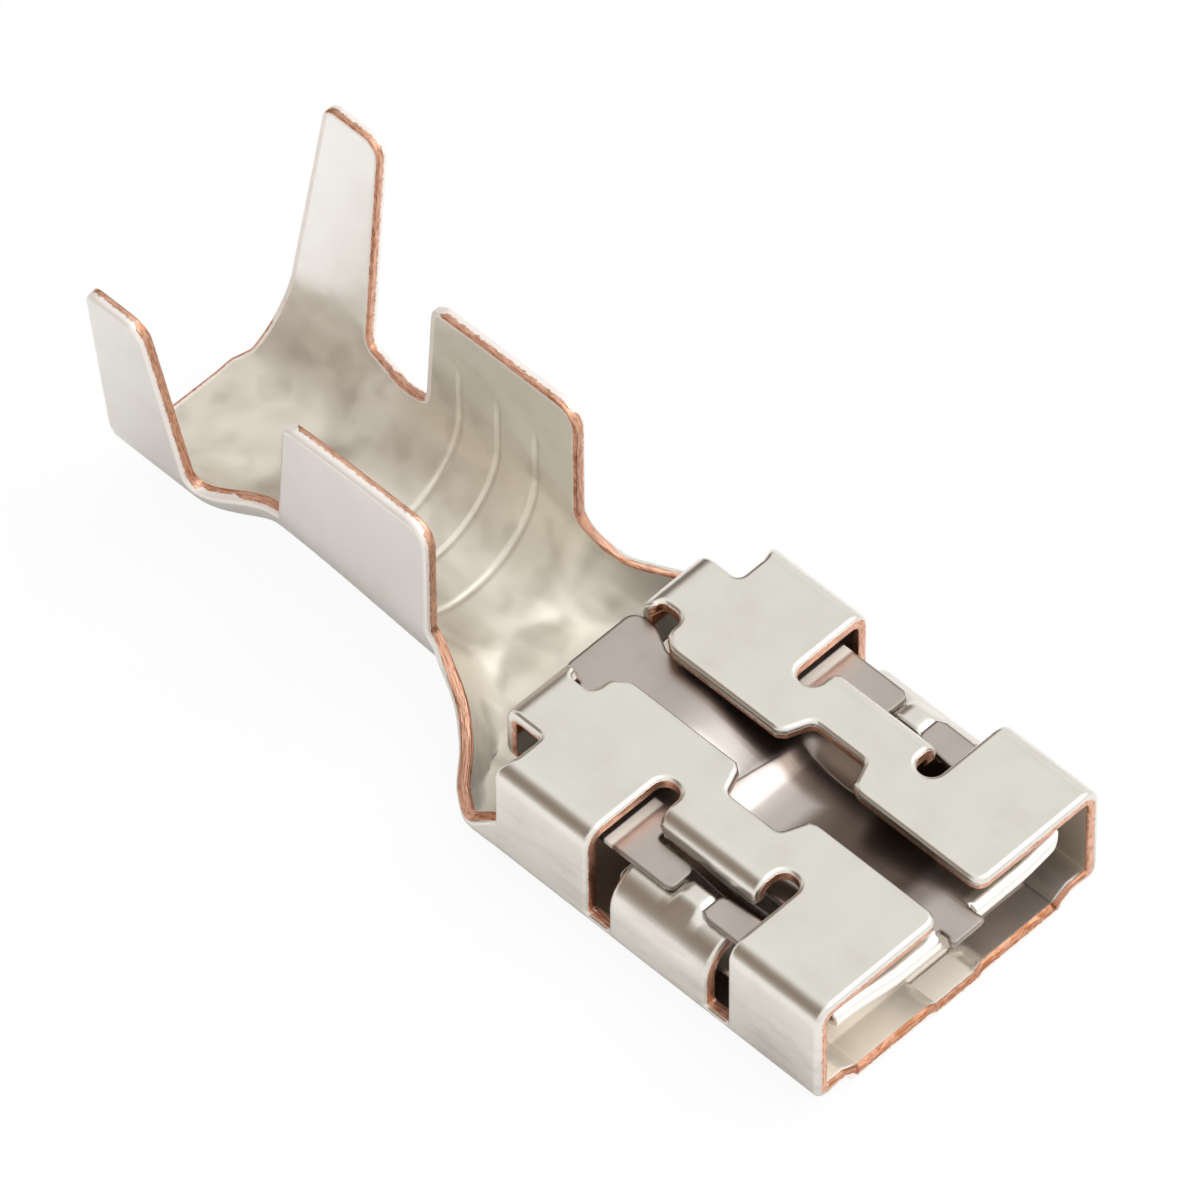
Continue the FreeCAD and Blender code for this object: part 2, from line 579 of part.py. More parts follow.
# Curled noses and contact beams.
contact = mouth - size("beam_contact")
beam_end = mouth - size("beam_length")
beam_low = base + thick + size("beam_gap")
nose_low = front_top - nose * 2
beam = new_sketch(spring, "beam_side", "XZ_Plane")
outline(beam, [
    (front_cut - 0.2, front_top), (nose_front, front_top, nose - 0.01), (nose_front, nose_low, nose - 0.01),
    (contact, beam_low, 1.0), (beam_end, beam_low + 0.6), (beam_end, beam_low + 0.6 + steel),
    (contact, beam_low + steel, 1.0), (nose_front - steel, nose_low + steel, nose - steel - 0.01),
    (nose_front - steel, front_top - steel, nose - steel - 0.01), (front_cut - 0.2, front_top - steel),
])
pad(spring, "beams", beam, size("nose_outer") * 2, midplane=True)
split = new_sketch(spring, "beam_split", "YZ_Plane", beam_end - 0.5)
n_inner, n_outer = size("nose_inner"), size("nose_outer")
slit = size("beam_slit") / 2
outline(split, [(-n_inner, beam_low - 0.5), (n_inner, beam_low - 0.5), (n_inner, front_top - steel - 0.03), (-n_inner, front_top - steel - 0.03)])
pocket(spring, "beam_gap_cut", split, mouth - beam_end + 2.0, reverse=True)
plan = new_sketch(spring, "nose_plan", "XY_Plane", top + 0.5)
outline(plan, [(front_cut, lip_half), (s_front + 1.0, lip_half), (s_front + 1.0, n_inner), (front_cut, n_inner)])
outline(plan, [(front_cut, -n_inner), (s_front + 1.0, -n_inner), (s_front + 1.0, -lip_half), (front_cut, -lip_half)])
pocket(spring, "nose_split", plan, size("box_height"))
slits = new_sketch(spring, "beam_slits", "YZ_Plane", beam_end - 0.5)
mid = (n_inner + n_outer) / 2
both_sides(slits, [(mid - slit, beam_low - 0.5), (mid + slit, beam_low - 0.5), (mid + slit, front_top - steel - 0.03), (mid - slit, front_top - steel - 0.03)])
pocket(spring, "beam_slit_cut", slits, mouth - beam_end - 0.4, reverse=True)

doc.recompute()

# ---------------------------------------------------------------- export
for item in doc.Objects:
    if "Invalid" in item.State or "Error" in item.State:
        raise RuntimeError("%s is %s" % (item.Name, item.State))
for body in (terminal, spring):
    shape = body.Shape
    if shape.isNull() or not shape.isValid():
        raise RuntimeError(body.Label + " has no valid shape")
    if len(shape.Solids) != 1:
        raise RuntimeError("%s has %d solids" % (body.Label, len(shape.Solids)))
    shape.exportStep("parts/%s.step" % body.Label)
    box = shape.optimalBoundingBox(False, False)
    print(body.Label, "volume %.2f" % shape.Volume, "faces", len(shape.Faces),
          "x %.2f..%.2f y %.2f..%.2f z %.2f..%.2f" % (box.XMin, box.XMax, box.YMin, box.YMax, box.ZMin, box.ZMax))
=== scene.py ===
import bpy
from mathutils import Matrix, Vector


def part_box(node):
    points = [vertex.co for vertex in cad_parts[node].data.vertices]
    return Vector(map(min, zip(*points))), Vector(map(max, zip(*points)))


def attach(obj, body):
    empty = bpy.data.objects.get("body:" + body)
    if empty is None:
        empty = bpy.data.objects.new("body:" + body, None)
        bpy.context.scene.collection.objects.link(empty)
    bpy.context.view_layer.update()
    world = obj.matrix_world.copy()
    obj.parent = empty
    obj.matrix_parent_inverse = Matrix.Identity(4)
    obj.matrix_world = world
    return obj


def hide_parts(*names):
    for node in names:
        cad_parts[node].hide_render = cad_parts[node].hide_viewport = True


bl_info = {
    "name": "Female spade connector",
    "version": (1, 0, 0),
    "blender": (4, 5, 0),
    "location": "View3D > Sidebar > Connector",
    "description": "Folded tinned sheet and steel spring of a female spade connector, with a plain studio",
    "category": "Object",
}

import math
from types import SimpleNamespace

import bpy
import numpy as np
from bpy.props import FloatProperty, FloatVectorProperty, PointerProperty
from mathutils import Matrix, Vector

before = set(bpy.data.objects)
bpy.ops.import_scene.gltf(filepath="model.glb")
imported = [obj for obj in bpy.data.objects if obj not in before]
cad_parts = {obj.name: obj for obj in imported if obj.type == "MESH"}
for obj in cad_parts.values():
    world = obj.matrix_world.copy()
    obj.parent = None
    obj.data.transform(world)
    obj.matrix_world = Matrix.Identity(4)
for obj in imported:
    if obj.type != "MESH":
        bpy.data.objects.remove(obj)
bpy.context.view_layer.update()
SHEET_LOW, SHEET_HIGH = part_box("terminal_body")
MM = 0.001
RIGHT = math.pi / 2  # a right angle
SHEET_THICK = 0.45  # thickness that the rim's profile is drawn for, in millimetres
FLOOR_HEIGHT = 0.58  # height of the box's underside over the table, in millimetres
MOUTH = np.array((SHEET_HIGH.x, 0.0, SHEET_LOW.z + FLOOR_HEIGHT * MM))  # zero point of the flat patterns

STEP = 2e-3  # small step for the slopes of a fold, in millimetres
TINY, ON_LINE, FAR_OFF = 1e-12, 1e-9, 1e9  # least divisor, length that counts as none, more than any distance
CHUNK = 2000000  # pairs of points and line pieces that are compared at once
SMOOTHING, SMOOTH_REACH = 4, 0.9  # rounds that even out the cells along a cut, and how far from it


def length(name, text, millimetres):
    """A size in metres whose default is given in millimetres."""
    return FloatProperty(name=name, description=text, default=millimetres * MM,
                         min=0.0, unit="LENGTH", precision=5)


def colour(name, text, rgb):
    """A colour with its red, green and blue from 0 to 1."""
    return FloatVectorProperty(name=name, description=text, default=rgb,
                               size=3, min=0.0, max=1.0, subtype="COLOR")


def portion(name, text, default):
    """A number from 0 to 1."""
    return FloatProperty(name=name, description=text, default=default, min=0.0, max=1.0, subtype="FACTOR")


# ------------------------------------------------------------- the numbers
class ConnectorSheet(bpy.types.PropertyGroup):
    """Sizes of the folded sheet"""
    thickness: length("Thickness", "thickness of the folded sheet", 0.45)
    box_width: length("Box width", "outside width of the box", 12.0)
    box_height: length("Box height", "outside height of the box", 4.2)
    box_length: length("Box length", "length of the box walls", 13.35)
    top_bend: length("Top bend", "outside radius of the upper bends", 0.7)
    floor_bend: length("Floor bend", "outside radius of the lower bends", 0.48)
    flange_gap: length("Flange gap", "gap between the two flanges", 1.64)
    slot_width: length("Window width", "width of the side windows", 0.88)
    front_slot: length("Front window", "front window centre behind the mouth", 4.15)
    rear_slot: length("Rear window", "rear window centre behind the mouth", 9.05)
    slot_end: length("Window end", "distance of the window ends from the middle", 2.68)
    cheek_height: length("Cheek height", "top of the low middle wall", 2.9)
    cheek_bend: length("Cheek bend", "outside radius of the low middle wall", 1.3)
    cheek_lip: length("Cheek lip", "straight run of its inward lip", 0.45)
    waist_half: length("Waist", "half width over the turned down waist edges", 3.87)
    waist_drop: length("Waist drop", "depth of the turned down waist edge", 1.0)
    waist_bend: length("Waist bend", "outside radius of the waist edge", 0.62)
    tab_inner: length("Tab inner edge", "inner edge of the rear closing tab", 1.55)
    tab_outer: length("Tab outer edge", "outer edge of the rear closing tab", 4.15)
    tab_reach: length("Tab reach", "reach of the closing tab behind the box", 1.33)
    tab_drop: length("Tab drop", "height of the closing tab", 2.3)
    tab_bend: length("Tab bend", "outside radius of the closing tab", 0.6)
    pad_drop: length("Pad drop", "drop of the outer pads of the mouth lip", 0.42)
    channel_drop: length("Channel drop", "drop of the middle channel of the mouth lip", 0.58)
    wire_height: length("Wire wing height", "height of the wire wings", 8.05)
    grip_height: length("Insulation wing height", "height of the insulation wings", 10.42)
    groove_first: length("First serration", "first serration behind the mouth", 20.4)
    groove_pitch: length("Serration pitch", "spacing of the serrations", 1.6)
    groove_depth: length("Serration depth", "depth of a serration", 0.06)


class ConnectorSpring(bpy.types.PropertyGroup):
    """Sizes of the steel spring"""
    steel: length("Thickness", "thickness of the spring", 0.25)
    rear: length("Rear end", "rear edge of the tongue behind the mouth", 14.88)
    tongue_half: length("Tongue half width", "half width of the rear tongue", 1.55)
    tongue_top: length("Tongue height", "top of the rear tongue", 3.45)
    half: length("Half width", "half width over the side tabs", 5.1)
    seat: length("Seat height", "top of the side tabs", 3.17)
    shelf: length("Shelf height", "top of the deck below the flanges behind the tabs", 3.63)
    middle: length("Trough height", "top of the trough between the flanges", 2.52)
    tab_inner: length("Tab inner edge", "inner edge of the side tabs", 3.97)
    slot_inner: length("Slot inner edge", "inner edge of the slots beside the tabs", 3.15)
    lip_near: length("Lip near side", "near side of the front lip", 0.79)
    lip_far: length("Lip far side", "far side of the front lip", 0.58)
    lip_reach: length("Lip reach", "reach of the front lip past the mouth", 0.5)
    nose_radius: length("Nose radius", "outside radius of the curled noses", 0.34)
    nose_inner: length("Nose inner end", "inner end of the noses", 0.86)
    nose_outer: length("Nose outer end", "outer end of the noses", 5.08)
    nose_front: length("Nose reach", "reach of the noses past the mouth", 0.12)
    beam_slit: length("Beam slit", "slit between two beams", 0.35)
    beam_contact: length("Beam contact", "contact line of the beams behind the mouth", 5.6)
    beam_length: length("Beam length", "rear end of the beams behind the mouth", 9.2)
    beam_gap: length("Beam gap", "free height of the contact line over the floor's inner face", 0.72)


class ConnectorFinish(bpy.types.PropertyGroup):
    """Colours and roughness of the metals"""
    tin: colour("Tin", "satin tin plating", (0.80, 0.785, 0.735))
    tin_dull: colour("Dull tin", "tin where it is stretched or dirty", (0.50, 0.46, 0.40))
    copper: colour("Copper", "bare copper on the cut edges", (0.87, 0.53, 0.395))
    copper_deep: colour("Dark copper", "darker copper on the cut edges", (0.42, 0.17, 0.08))
    steel: colour("Steel", "rolled spring steel", (0.53, 0.48, 0.45))
    tin_gloss: portion("Tin roughness", "roughness of the tin", 0.25)
    steel_gloss: portion("Steel roughness", "roughness of the steel", 0.26)


class ConnectorStage(bpy.types.PropertyGroup):
    """Camera, light and floor"""
    lens: FloatProperty(name="Lens", description="focal length of the camera", default=495.67,
                        min=1.0, unit="CAMERA")
    world: FloatProperty(name="World", description="strength of the world light", default=1.0, min=0.0)
    floor: colour("Floor", "colour of the floor", (0.96, 0.955, 0.96))


# ------------------------------------------------------- flat pattern tools
def rounded(corners, steps=9):
    """Closed line through corners (x, s, radius). A corner with a radius becomes an arc that touches both of
    its sides: it starts the radius over the tangent of half the corner's angle away, or less on a short
    side."""
    points = []
    count = len(corners)
    for i, (x, s, radius) in enumerate(corners):
        here = np.array((x, s), float)
        a = np.array(corners[i - 1][:2], float) - here
        b = np.array(corners[(i + 1) % count][:2], float) - here
        if radius <= 0:
            points.append(here[None])
            continue
        la, lb = np.linalg.norm(a), np.linalg.norm(b)
        u, v = a / la, b / lb
        half = math.acos(float(np.clip(u @ v, -1, 1))) / 2
        reach = min(radius / math.tan(half), 0.49 * la, 0.49 * lb)
        radius = reach * math.tan(half)
        centre = here + (u + v) / np.linalg.norm(u + v) * (radius / math.sin(half))
        start, end = here + u * reach - centre, here + v * reach - centre
        first = math.atan2(start[1], start[0])
        turn = (math.atan2(end[1], end[0]) - first + math.pi) % (2 * math.pi) - math.pi
        angle = first + turn * np.linspace(0, 1, steps)
        points.append(centre + radius * np.stack((np.cos(angle), np.sin(angle)), 1))
    return np.concatenate(points)


def cut_distance(points, loops, mirror=True):
    """Distance of flat points from the cut line, negative inside the sheet, and the nearest point of that
    line. The first loop is the outline and the others are holes, and the pattern may be mirrored across
    the middle line. The nearest point is the closest foot on any of the line's pieces, and a point is
    inside a loop when a ray from it crosses the loop an odd number of times."""
    sign = np.where(points[:, 1] < 0, -1.0, 1.0) if mirror else np.ones(len(points))
    p = points * np.stack((np.ones_like(sign), sign), 1)
    best = np.full(len(p), FAR_OFF)
    near = np.zeros_like(p)
    inside = np.zeros(len(p), bool)
    for number, loop in enumerate(loops):
        a, b = loop, np.roll(loop, -1, 0)
        d = b - a
        size = np.maximum((d ** 2).sum(1), TINY)
        within = np.zeros(len(p), bool)
        for part in np.array_split(np.arange(len(p)), max(1, len(p) * len(a) // CHUNK)):
            q = p[part]
            t = np.clip(((q[:, None] - a) * d).sum(2) / size, 0, 1)
            foot = a + t[..., None] * d
            gap = ((q[:, None] - foot) ** 2).sum(2)
            pick = gap.argmin(1)
            rows = np.arange(len(q))
            closer = gap[rows, pick] < best[part]
            best[part] = np.where(closer, gap[rows, pick], best[part])
            near[part] = np.where(closer[:, None], foot[rows, pick], near[part])
            spans = (a[:, 1] > q[:, None, 1]) != (b[:, 1] > q[:, None, 1])
            rise = np.where(np.abs(d[:, 1]) < TINY, TINY, d[:, 1])
            cross = q[:, None, 0] < a[:, 0] + (q[:, None, 1] - a[:, 1]) / rise * d[:, 0]
            within[part] = ((spans & cross).sum(1) % 2).astype(bool)
        inside = within if number == 0 else inside & ~within
    distance = np.sqrt(best) * np.where(inside, -1.0, 1.0)
    near[:, 1] *= sign
    return distance, near


def smooth_line(x, stations, values):
    """Values between stations on a curve with no overshoot: cubic pieces whose slope at a station is the
    harmonic mean of the slopes of its two sides, or 0 where they turn."""
    stations, values = np.asarray(stations, float), np.asarray(values, float)
    order = np.argsort(stations)
    sx, sy = stations[order], values[order]
    step = np.diff(sx)
    slope = np.diff(sy) / step
    grade = np.zeros_like(sy)
    product, total = slope[:-1] * slope[1:], slope[:-1] + slope[1:]
    flat = product <= 0
    grade[1:-1] = np.where(flat, 0.0, 2 * product / np.where(flat, 1.0, total))
    x = np.clip(x, sx[0], sx[-1])
    k = np.clip(np.searchsorted(sx, x) - 1, 0, len(sx) - 2)
    t = (x - sx[k]) / step[k]
    return ((1 + 2 * t) * (1 - t) ** 2 * sy[k] + t * (1 - t) ** 2 * step[k] * grade[k]
            + t ** 2 * (3 - 2 * t) * sy[k + 1] + t ** 2 * (t - 1) * step[k] * grade[k + 1])


def ramp(x, a, b):
    """0 before a, 1 after b, with a smooth rise between: 3 t squared less 2 t cubed, t being the share."""
    t = np.clip((x - a) / (b - a), 0, 1)
    return t * t * (3 - 2 * t)


def band(x, a, b, c, d):
    """A ramp that rises from a to b times one that falls from c to d."""
    return ramp(x, a, b) * (1 - ramp(x, c, d))


def between(x, low, high):
    """True where x lies between low and high."""
    return (x > low) & (x < high)


def soft(x, start, width):
    """How far x is past start, with a smooth bend: width times the logarithm of 1 plus the exponential."""
    return width * np.logaddexp(0, np.clip((x - start) / width, -30, 30))


def faces_of(fold, flat):
    """Points of the outer face and the unit normals that point to the inner face: the cross product of the
    fold's small steps along x and along s."""
    dx, ds = np.array((STEP, 0.0)), np.array((0.0, STEP))
    along = fold(flat + dx) - fold(flat - dx)
    across = fold(flat + ds) - fold(flat - ds)
    normal = np.cross(along, across)
    normal /= np.maximum(np.linalg.norm(normal, axis=1, keepdims=True), TINY)
    return fold(flat), normal


def spaced(marks):
    """Grid positions from (position, step) marks: each stretch between two marks gets even cells no wider
    than its step."""
    out = [np.array([marks[0][0]])]
    for (a, step), (b, _) in zip(marks[:-1], marks[1:]):
        count = max(1, int(math.ceil((b - a) / step)))
        out.append(np.linspace(a, b, count + 1)[1:])
    return np.concatenate(out)


def even_out(moved, quad, free):
    """Moves the free vertices halfway to the mean of their neighbours, a few times."""
    for _ in range(SMOOTHING):
        total = np.zeros_like(moved)
        count = np.zeros(len(moved))
        for a in range(4):
            for b in ((a + 1) % 4, (a + 3) % 4):
                np.add.at(total, quad[:, a], moved[quad[:, b]])
                np.add.at(count, quad[:, a], 1)
        mean = total / np.maximum(count, 1)[:, None]
        moved[free] = 0.5 * moved[free] + 0.5 * mean[free]


def blank_grid(xs, ss, loops, inset, mirror):
    """The blank as a grid of x and s. Cells whose middle isn't inset inside the cut line are dropped, and the
    vertices along the cut are moved to inset inside it. Gives the vertices, the quads, the directed edges
    without a neighbour, and for the vertices along the cut their numbers, their feet on it and the unit
    directions outwards."""
    gx, gs = np.meshgrid(xs, ss, indexing="ij")
    cx, cs = np.meshgrid((xs[1:] + xs[:-1]) / 2, (ss[1:] + ss[:-1]) / 2, indexing="ij")
    gap, _ = cut_distance(np.stack((cx.ravel(), cs.ravel()), 1), loops, mirror)
    keep = (gap < -inset).reshape(cx.shape)
    padded = np.pad(keep, 1)
    around = padded[:-1, :-1].astype(int) + padded[1:, :-1] + padded[:-1, 1:] + padded[1:, 1:]
    used = (around > 0).ravel()
    edge = (around < 4).ravel()[used]
    moved = np.stack((gx.ravel(), gs.ravel()), 1)[used]
    distance, near = cut_distance(moved, loops, mirror)
    away = (moved - near) * np.sign(distance)[:, None]
    away /= np.maximum(np.linalg.norm(away, axis=1, keepdims=True), ON_LINE)
    moved[edge] = near[edge] - away[edge] * inset
    index = np.full(len(used), -1)
    index[used] = np.arange(used.sum())
    index = index.reshape(gx.shape)
    i, j = np.nonzero(keep)
    quad = np.stack((index[i, j], index[i + 1, j], index[i + 1, j + 1], index[i, j + 1]), 1)
    even_out(moved, quad, ~edge & (distance > -SMOOTH_REACH))
    sides = []
    for corners, (di, dj) in (((0, 1), (0, -1)), ((1, 2), (1, 0)), ((2, 3), (0, 1)), ((3, 0), (-1, 0))):
        alone = ~padded[i + 1 + di, j + 1 + dj]
        sides.append(quad[alone][:, corners])
    here = np.nonzero(edge)[0]
    return moved, quad, np.concatenate(sides), here, near[here], away[here]


# The rim of a sheared edge in rings from the outer face to the inner one: distance inside the cut, depth in a
# sheet of SHEET_THICK, how far down the bare copper it lies, and the shares of a chamfer's width that it
# gives way by, along the sheet and through it.
RIM = (
    (0.17, 0.0, 0.0, 0.0, 0.0),
    (0.12, 0.01, 0.0, 0.0, 0.0),
    (0.075, 0.032, 0.05, 0.0, 0.0),
    (0.038, 0.07, 0.15, 0.0, 0.0),
    (0.012, 0.12, 0.27, 0.0, 0.0),
    (0.0, 0.19, 0.42, 0.0, 0.0),
    (0.0, 0.29, 0.64, 0.0, 0.15),
    (0.0, 0.385, 0.86, 0.35, 0.3),
    (0.008, 0.425, 0.95, 0.8, 0.15),
    (0.035, 0.448, 1.0, 1.0, 0.0),
)


def plate(name, xs, ss, loops, fold, thick, chamfer, bare, inset=0.2, dent=None, mirror=True, roll=1.0):
    """A folded plate. fold carries the flat points of its blank to the outer face in space, and the inner
    face lies thick along its normal, less the dent. The rim is carried along the cut between the two
    faces. Its marks are the depth, 0 outside and 1 inside, the rim's copper and how dark its painted shade
    is, and the flat place."""
    moved, quad, sides, here, nearest, outward = blank_grid(xs, ss, loops, inset, mirror)
    n, m = len(moved), len(here)
    base, normal = faces_of(fold, moved)
    inner = base + normal * thick
    if dent is not None:
        inner -= normal * dent(moved)[:, None]
    cut = chamfer(nearest)
    share, dark = bare(nearest)
    zero = np.zeros(n)
    rows = [(base, moved, zero, zero, zero), (inner, moved, np.ones(n), zero, zero)]
    for inside, deep, copper, wide, tall in RIM:
        spot = nearest - outward * (inside * roll + cut * wide)[:, None]
        level, up = faces_of(fold, spot)
        lower = deep * thick / SHEET_THICK - cut * tall
        rows.append((level + up * lower[:, None], spot, np.full(m, deep / SHEET_THICK), copper * share, dark))
    points, pattern, depth, rim, painted_copper_shade = (np.concatenate(column) for column in zip(*rows))
    rings = [here] + [2 * n + k * m + np.arange(m) for k in range(len(RIM))] + [n + here]
    ring_of = np.full(n, -1)
    ring_of[here] = np.arange(m)
    a, b = ring_of[sides[:, 0]], ring_of[sides[:, 1]]
    strips = [np.stack((up[b], up[a], low[a], low[b]), 1) for low, up in zip(rings[:-1], rings[1:])]
    faces = np.concatenate([quad[:, ::-1], quad + n] + strips)
    marks = {"depth": depth, "rim": rim, "painted_copper_shade": painted_copper_shade, "along": pattern[:, 0], "across": pattern[:, 1]}
    return build(name, points, faces, marks)


def put(name, data):
    """A new object with this data, linked to the scene."""
    thing = bpy.data.objects.new(name, data)
    bpy.context.scene.collection.objects.link(thing)
    return thing


def build(name, points, faces, marks):
    """A mesh object of quads between points in millimetres from the mouth, with its marks as one float per
    vertex."""
    mesh = bpy.data.meshes.new(name)
    where = points * MM + MOUTH
    mesh.vertices.add(len(where))
    mesh.vertices.foreach_set("co", where.astype(np.float32).ravel())
    mesh.loops.add(faces.size)
    mesh.loops.foreach_set("vertex_index", faces.astype(np.int32).ravel())
    mesh.polygons.add(len(faces))
    mesh.polygons.foreach_set("loop_start", np.arange(0, faces.size, faces.shape[1], dtype=np.int32))
    mesh.update(calc_edges=True)
    mesh.validate()
    for key, values in marks.items():
        mesh.attributes.new(key, "FLOAT", "POINT").data.foreach_set("value", values.astype(np.float32))
    mesh.polygons.foreach_set("use_smooth", np.ones(len(mesh.polygons), bool))
    return put(name, mesh)


def in_millimetres(sizes):
    """The sizes of a group as plain numbers in millimetres."""
    return SimpleNamespace(**{name: getattr(sizes, name) / MM for name in type(sizes).__annotations__})


# --------------------------------------------------------- the folded sheet
# Places in the flat pattern, in millimetres: x runs forward from the mouth, so it is negative inside the
# part, and s runs from the middle line over the floor, up the wall and back over the flange.
TAIL = -32.02  # rear end of the tail
PAST_AXIS = -6.0  # how far the outline's middle side is pushed past the middle line
NECK_EDGE = 1.48  # height of the neck's edge where it meets the box
NOTCH_DEPTH = 1.02  # depth of the notch in the flange's inner edge
SQUARE, WINDOW_END = 0.12, 0.43  # corner radii: a nearly square corner and a round window end
STOP_RISE = 0.27  # rise of the stop on the cheek's lip
STOP_ALONG = (-6.9, -6.72, -5.82, -5.64)  # where the stop rises and falls
LIP_ALONG = (-2.9, -1.3)  # where the floor sinks to the mouth's lip
LIP_ACROSS = (0.92, 1.2, 4.4, 4.75)  # edge of its channel, pad from and to, and floor again
CHAMFER = 0.14  # width of the lead-in chamfer of the mouth
GROOVES = 3  # number of serrations
GROOVE_SIDE = (0.02, 0.12)  # half width of a serration at its bottom and its top
GROOVE_END = (6.9, 7.5)  # where the serrations fade out up the wall

# U sections of the sheet: x, half width over the walls, outside radius of the lower bends, height of the
# floor, and how far the walls lean out for each millimetre that they rise.
SECTIONS = np.array((
    (0.0, 6.0, 0.48, 0.0, 0.0),  # mouth
    (-13.35, 6.0, 0.48, 0.0, 0.0),  # rear end of the box
    (-14.45, 6.26, 1.2, 0.0, 0.0),  # widest place
    (-15.32, 5.88, 1.7, 0.0, 0.0),
    (-16.06, 4.83, 2.0, 0.0, 0.0),
    (-17.23, 3.9, 2.4, 0.07, 0.0),
    (-17.95, 3.6, 2.8, 0.12, 0.0),
    (-18.67, 3.4, 3.3, 0.175, 0.0),  # front of the wire barrel
    (-25.39, 3.4, 3.3, 0.7, 0.0),  # rear of the wire barrel
    (-28.19, 3.7, 3.5, 0.175, 0.155),  # front of the insulation barrel
    (-33.0, 3.7, 3.5, 0.175, 0.155),  # past the tail
))

# Grids of (position, step) marks: finer over the serrations, the windows and the bends.
SHEET_ALONG = ((-32.3, 0.22), (-25.4, 0.22), (-24.2, 0.075), (-19.8, 0.22), (-15.0, 0.12), (-12.4, 0.17),
               (-2.9, 0.12), (0.3, 0.12))
SHEET_ACROSS = ((0.0, 0.2), (0.92, 0.14), (1.2, 0.2), (4.45, 0.2), (4.65, 0.16), (5.45, 0.11), (6.35, 0.22),
                (9.2, 0.11), (10.5, 0.22), (11.1, 0.14), (12.5, 0.2), (13.4, 0.12), (15.1, 0.12))


def section_at(x):
    """Half width of the flat floor, corner radius, floor height and turn of the corner of the U at x. The
    turn is a right angle less the lean of the wall."""
    half, radius, floor, lean = (smooth_line(x, SECTIONS[:, 0], SECTIONS[:, k]) for k in range(1, 5))
    turn = RIGHT - np.arctan(lean)
    return half - radius * np.tan(turn / 2), radius, floor, turn


def wall_s(x, z):
    """Flat position s of the point of the wall at x whose height is z: the floor, the arc of the corner up to
    that height, and the straight wall above the arc."""
    x, z = np.asarray(x, float), np.asarray(z, float)
    flat, radius, floor, turn = section_at(x)
    rise = z - floor
    top = radius * (1 - np.cos(turn))
    on_arc = radius * np.arccos(np.clip(1 - rise / radius, -1, 1))
    return flat + np.where(rise < top, on_arc, radius * turn + (rise - top) / np.sin(turn))


def sheet_numbers(sizes):
    """The sizes and the flat positions that follow from them: a straight run keeps its length, and a bend
    takes its outside radius times its angle."""
    v = in_millimetres(sizes)
    half, low, high = v.box_width / 2, v.floor_bend, v.top_bend
    v.s_low = half - low
    v.s_wall = v.s_low + low * RIGHT
    v.s_bend = v.s_wall + v.box_height - high - low
    v.s_flange = v.s_bend + high * RIGHT
    v.flange_s = lambda y: v.s_flange + half - high - y
    v.s_cheek = v.s_wall + v.cheek_height - v.cheek_bend - low
    v.s_cheek_end = v.s_cheek + v.cheek_bend * RIGHT + v.cheek_lip
    v.s_waist = v.flange_s(v.waist_half - v.waist_bend)
    v.s_waist_end = v.s_waist - v.waist_bend * RIGHT - (v.waist_drop - v.waist_bend)
    v.s_split = (v.s_cheek_end + v.s_waist_end) / 2
    v.tab_flat = v.tab_reach - v.tab_bend
    v.tab_end = v.tab_flat + v.tab_bend * RIGHT + v.tab_drop - v.tab_bend
    return v


def sheet_pattern(v):
    """Cut lines of the blank: the outline of one half, and the hole that the two windows make with the gap
    between cheek and waist. The wings' corners are given by their height, which the wall turns into s."""
    rear, at = -v.box_length, v.flange_s
    inner, deep = at(v.flange_gap / 2), at(v.flange_gap / 2 + NOTCH_DEPTH)
    wings = [
        (-31.66, 1.9, 0.4), (-31.12, v.grip_height, 0.4), (-28.76, v.grip_height, 0.7),  # insulation wing
        (-28.24, 2.6, 0.55), (-25.96, 3.05, 0.9), (-25.07, 3.3, 0.25),  # gap
        (-24.77, v.wire_height - 0.1, 0.4), (-18.67, v.wire_height, 0.75),  # wire wing
        (-18.67, 2.85, 1.3), (-17.3, 1.95, 1.0), (-16.0, NECK_EDGE, 1.0),  # neck
        (rear, NECK_EDGE, SQUARE),
    ]
    outline = [
        (TAIL, PAST_AXIS, 0), (TAIL, 1.55, 0.3), (-31.7, 2.3, 0.4),
        *[(x, float(wall_s(x, z)), r) for x, z, r in wings],
        # rear corner of the box and closing tab
        (rear, v.s_bend + 0.45, 0.35), (rear + 0.25, v.s_flange + 0.05, 0.4),
        (rear + 0.25, at(v.tab_outer), 0.24), (rear - v.tab_end, at(v.tab_outer), 0.3),
        (rear - v.tab_end, at(v.tab_inner), 0.3),
        # eye at the rear inner corner of the flange
        (rear - 1.3, at(v.tab_inner), 0.2), (rear - 0.84, at(1.3), 0.16), (rear - 0.87, at(1.96), 0.42),
        (rear + 0.12, at(1.98), 0.42), (rear + 0.16, at(1.22), 0.3), (rear + 0.66, inner, 0.4),
        # notch, front corner and mouth
        (-8.14, inner, SQUARE), (-7.72, deep, 0.3), (-5.64, deep, 0.3), (-5.22, inner, SQUARE),
        (0.0, inner, 0.45), (0.0, PAST_AXIS, 0),
    ]
    half = v.slot_width / 2
    a, b, c, d = -v.rear_slot - half, -v.rear_slot + half, -v.front_slot - half, -v.front_slot + half
    low, end = v.s_wall, at(v.slot_end)
    window = [
        (a, low, SQUARE), (b, low, SQUARE), (b, v.s_cheek_end, 0.35), (c, v.s_cheek_end, 0.35),
        (c, low, SQUARE), (d, low, SQUARE), (d, end, WINDOW_END), (c, end, WINDOW_END),
        (c, v.s_waist_end, 0.25), (b, v.s_waist_end, 0.25), (b, end, WINDOW_END), (a, end, WINDOW_END),
    ]
    return [rounded(outline), rounded(window)]


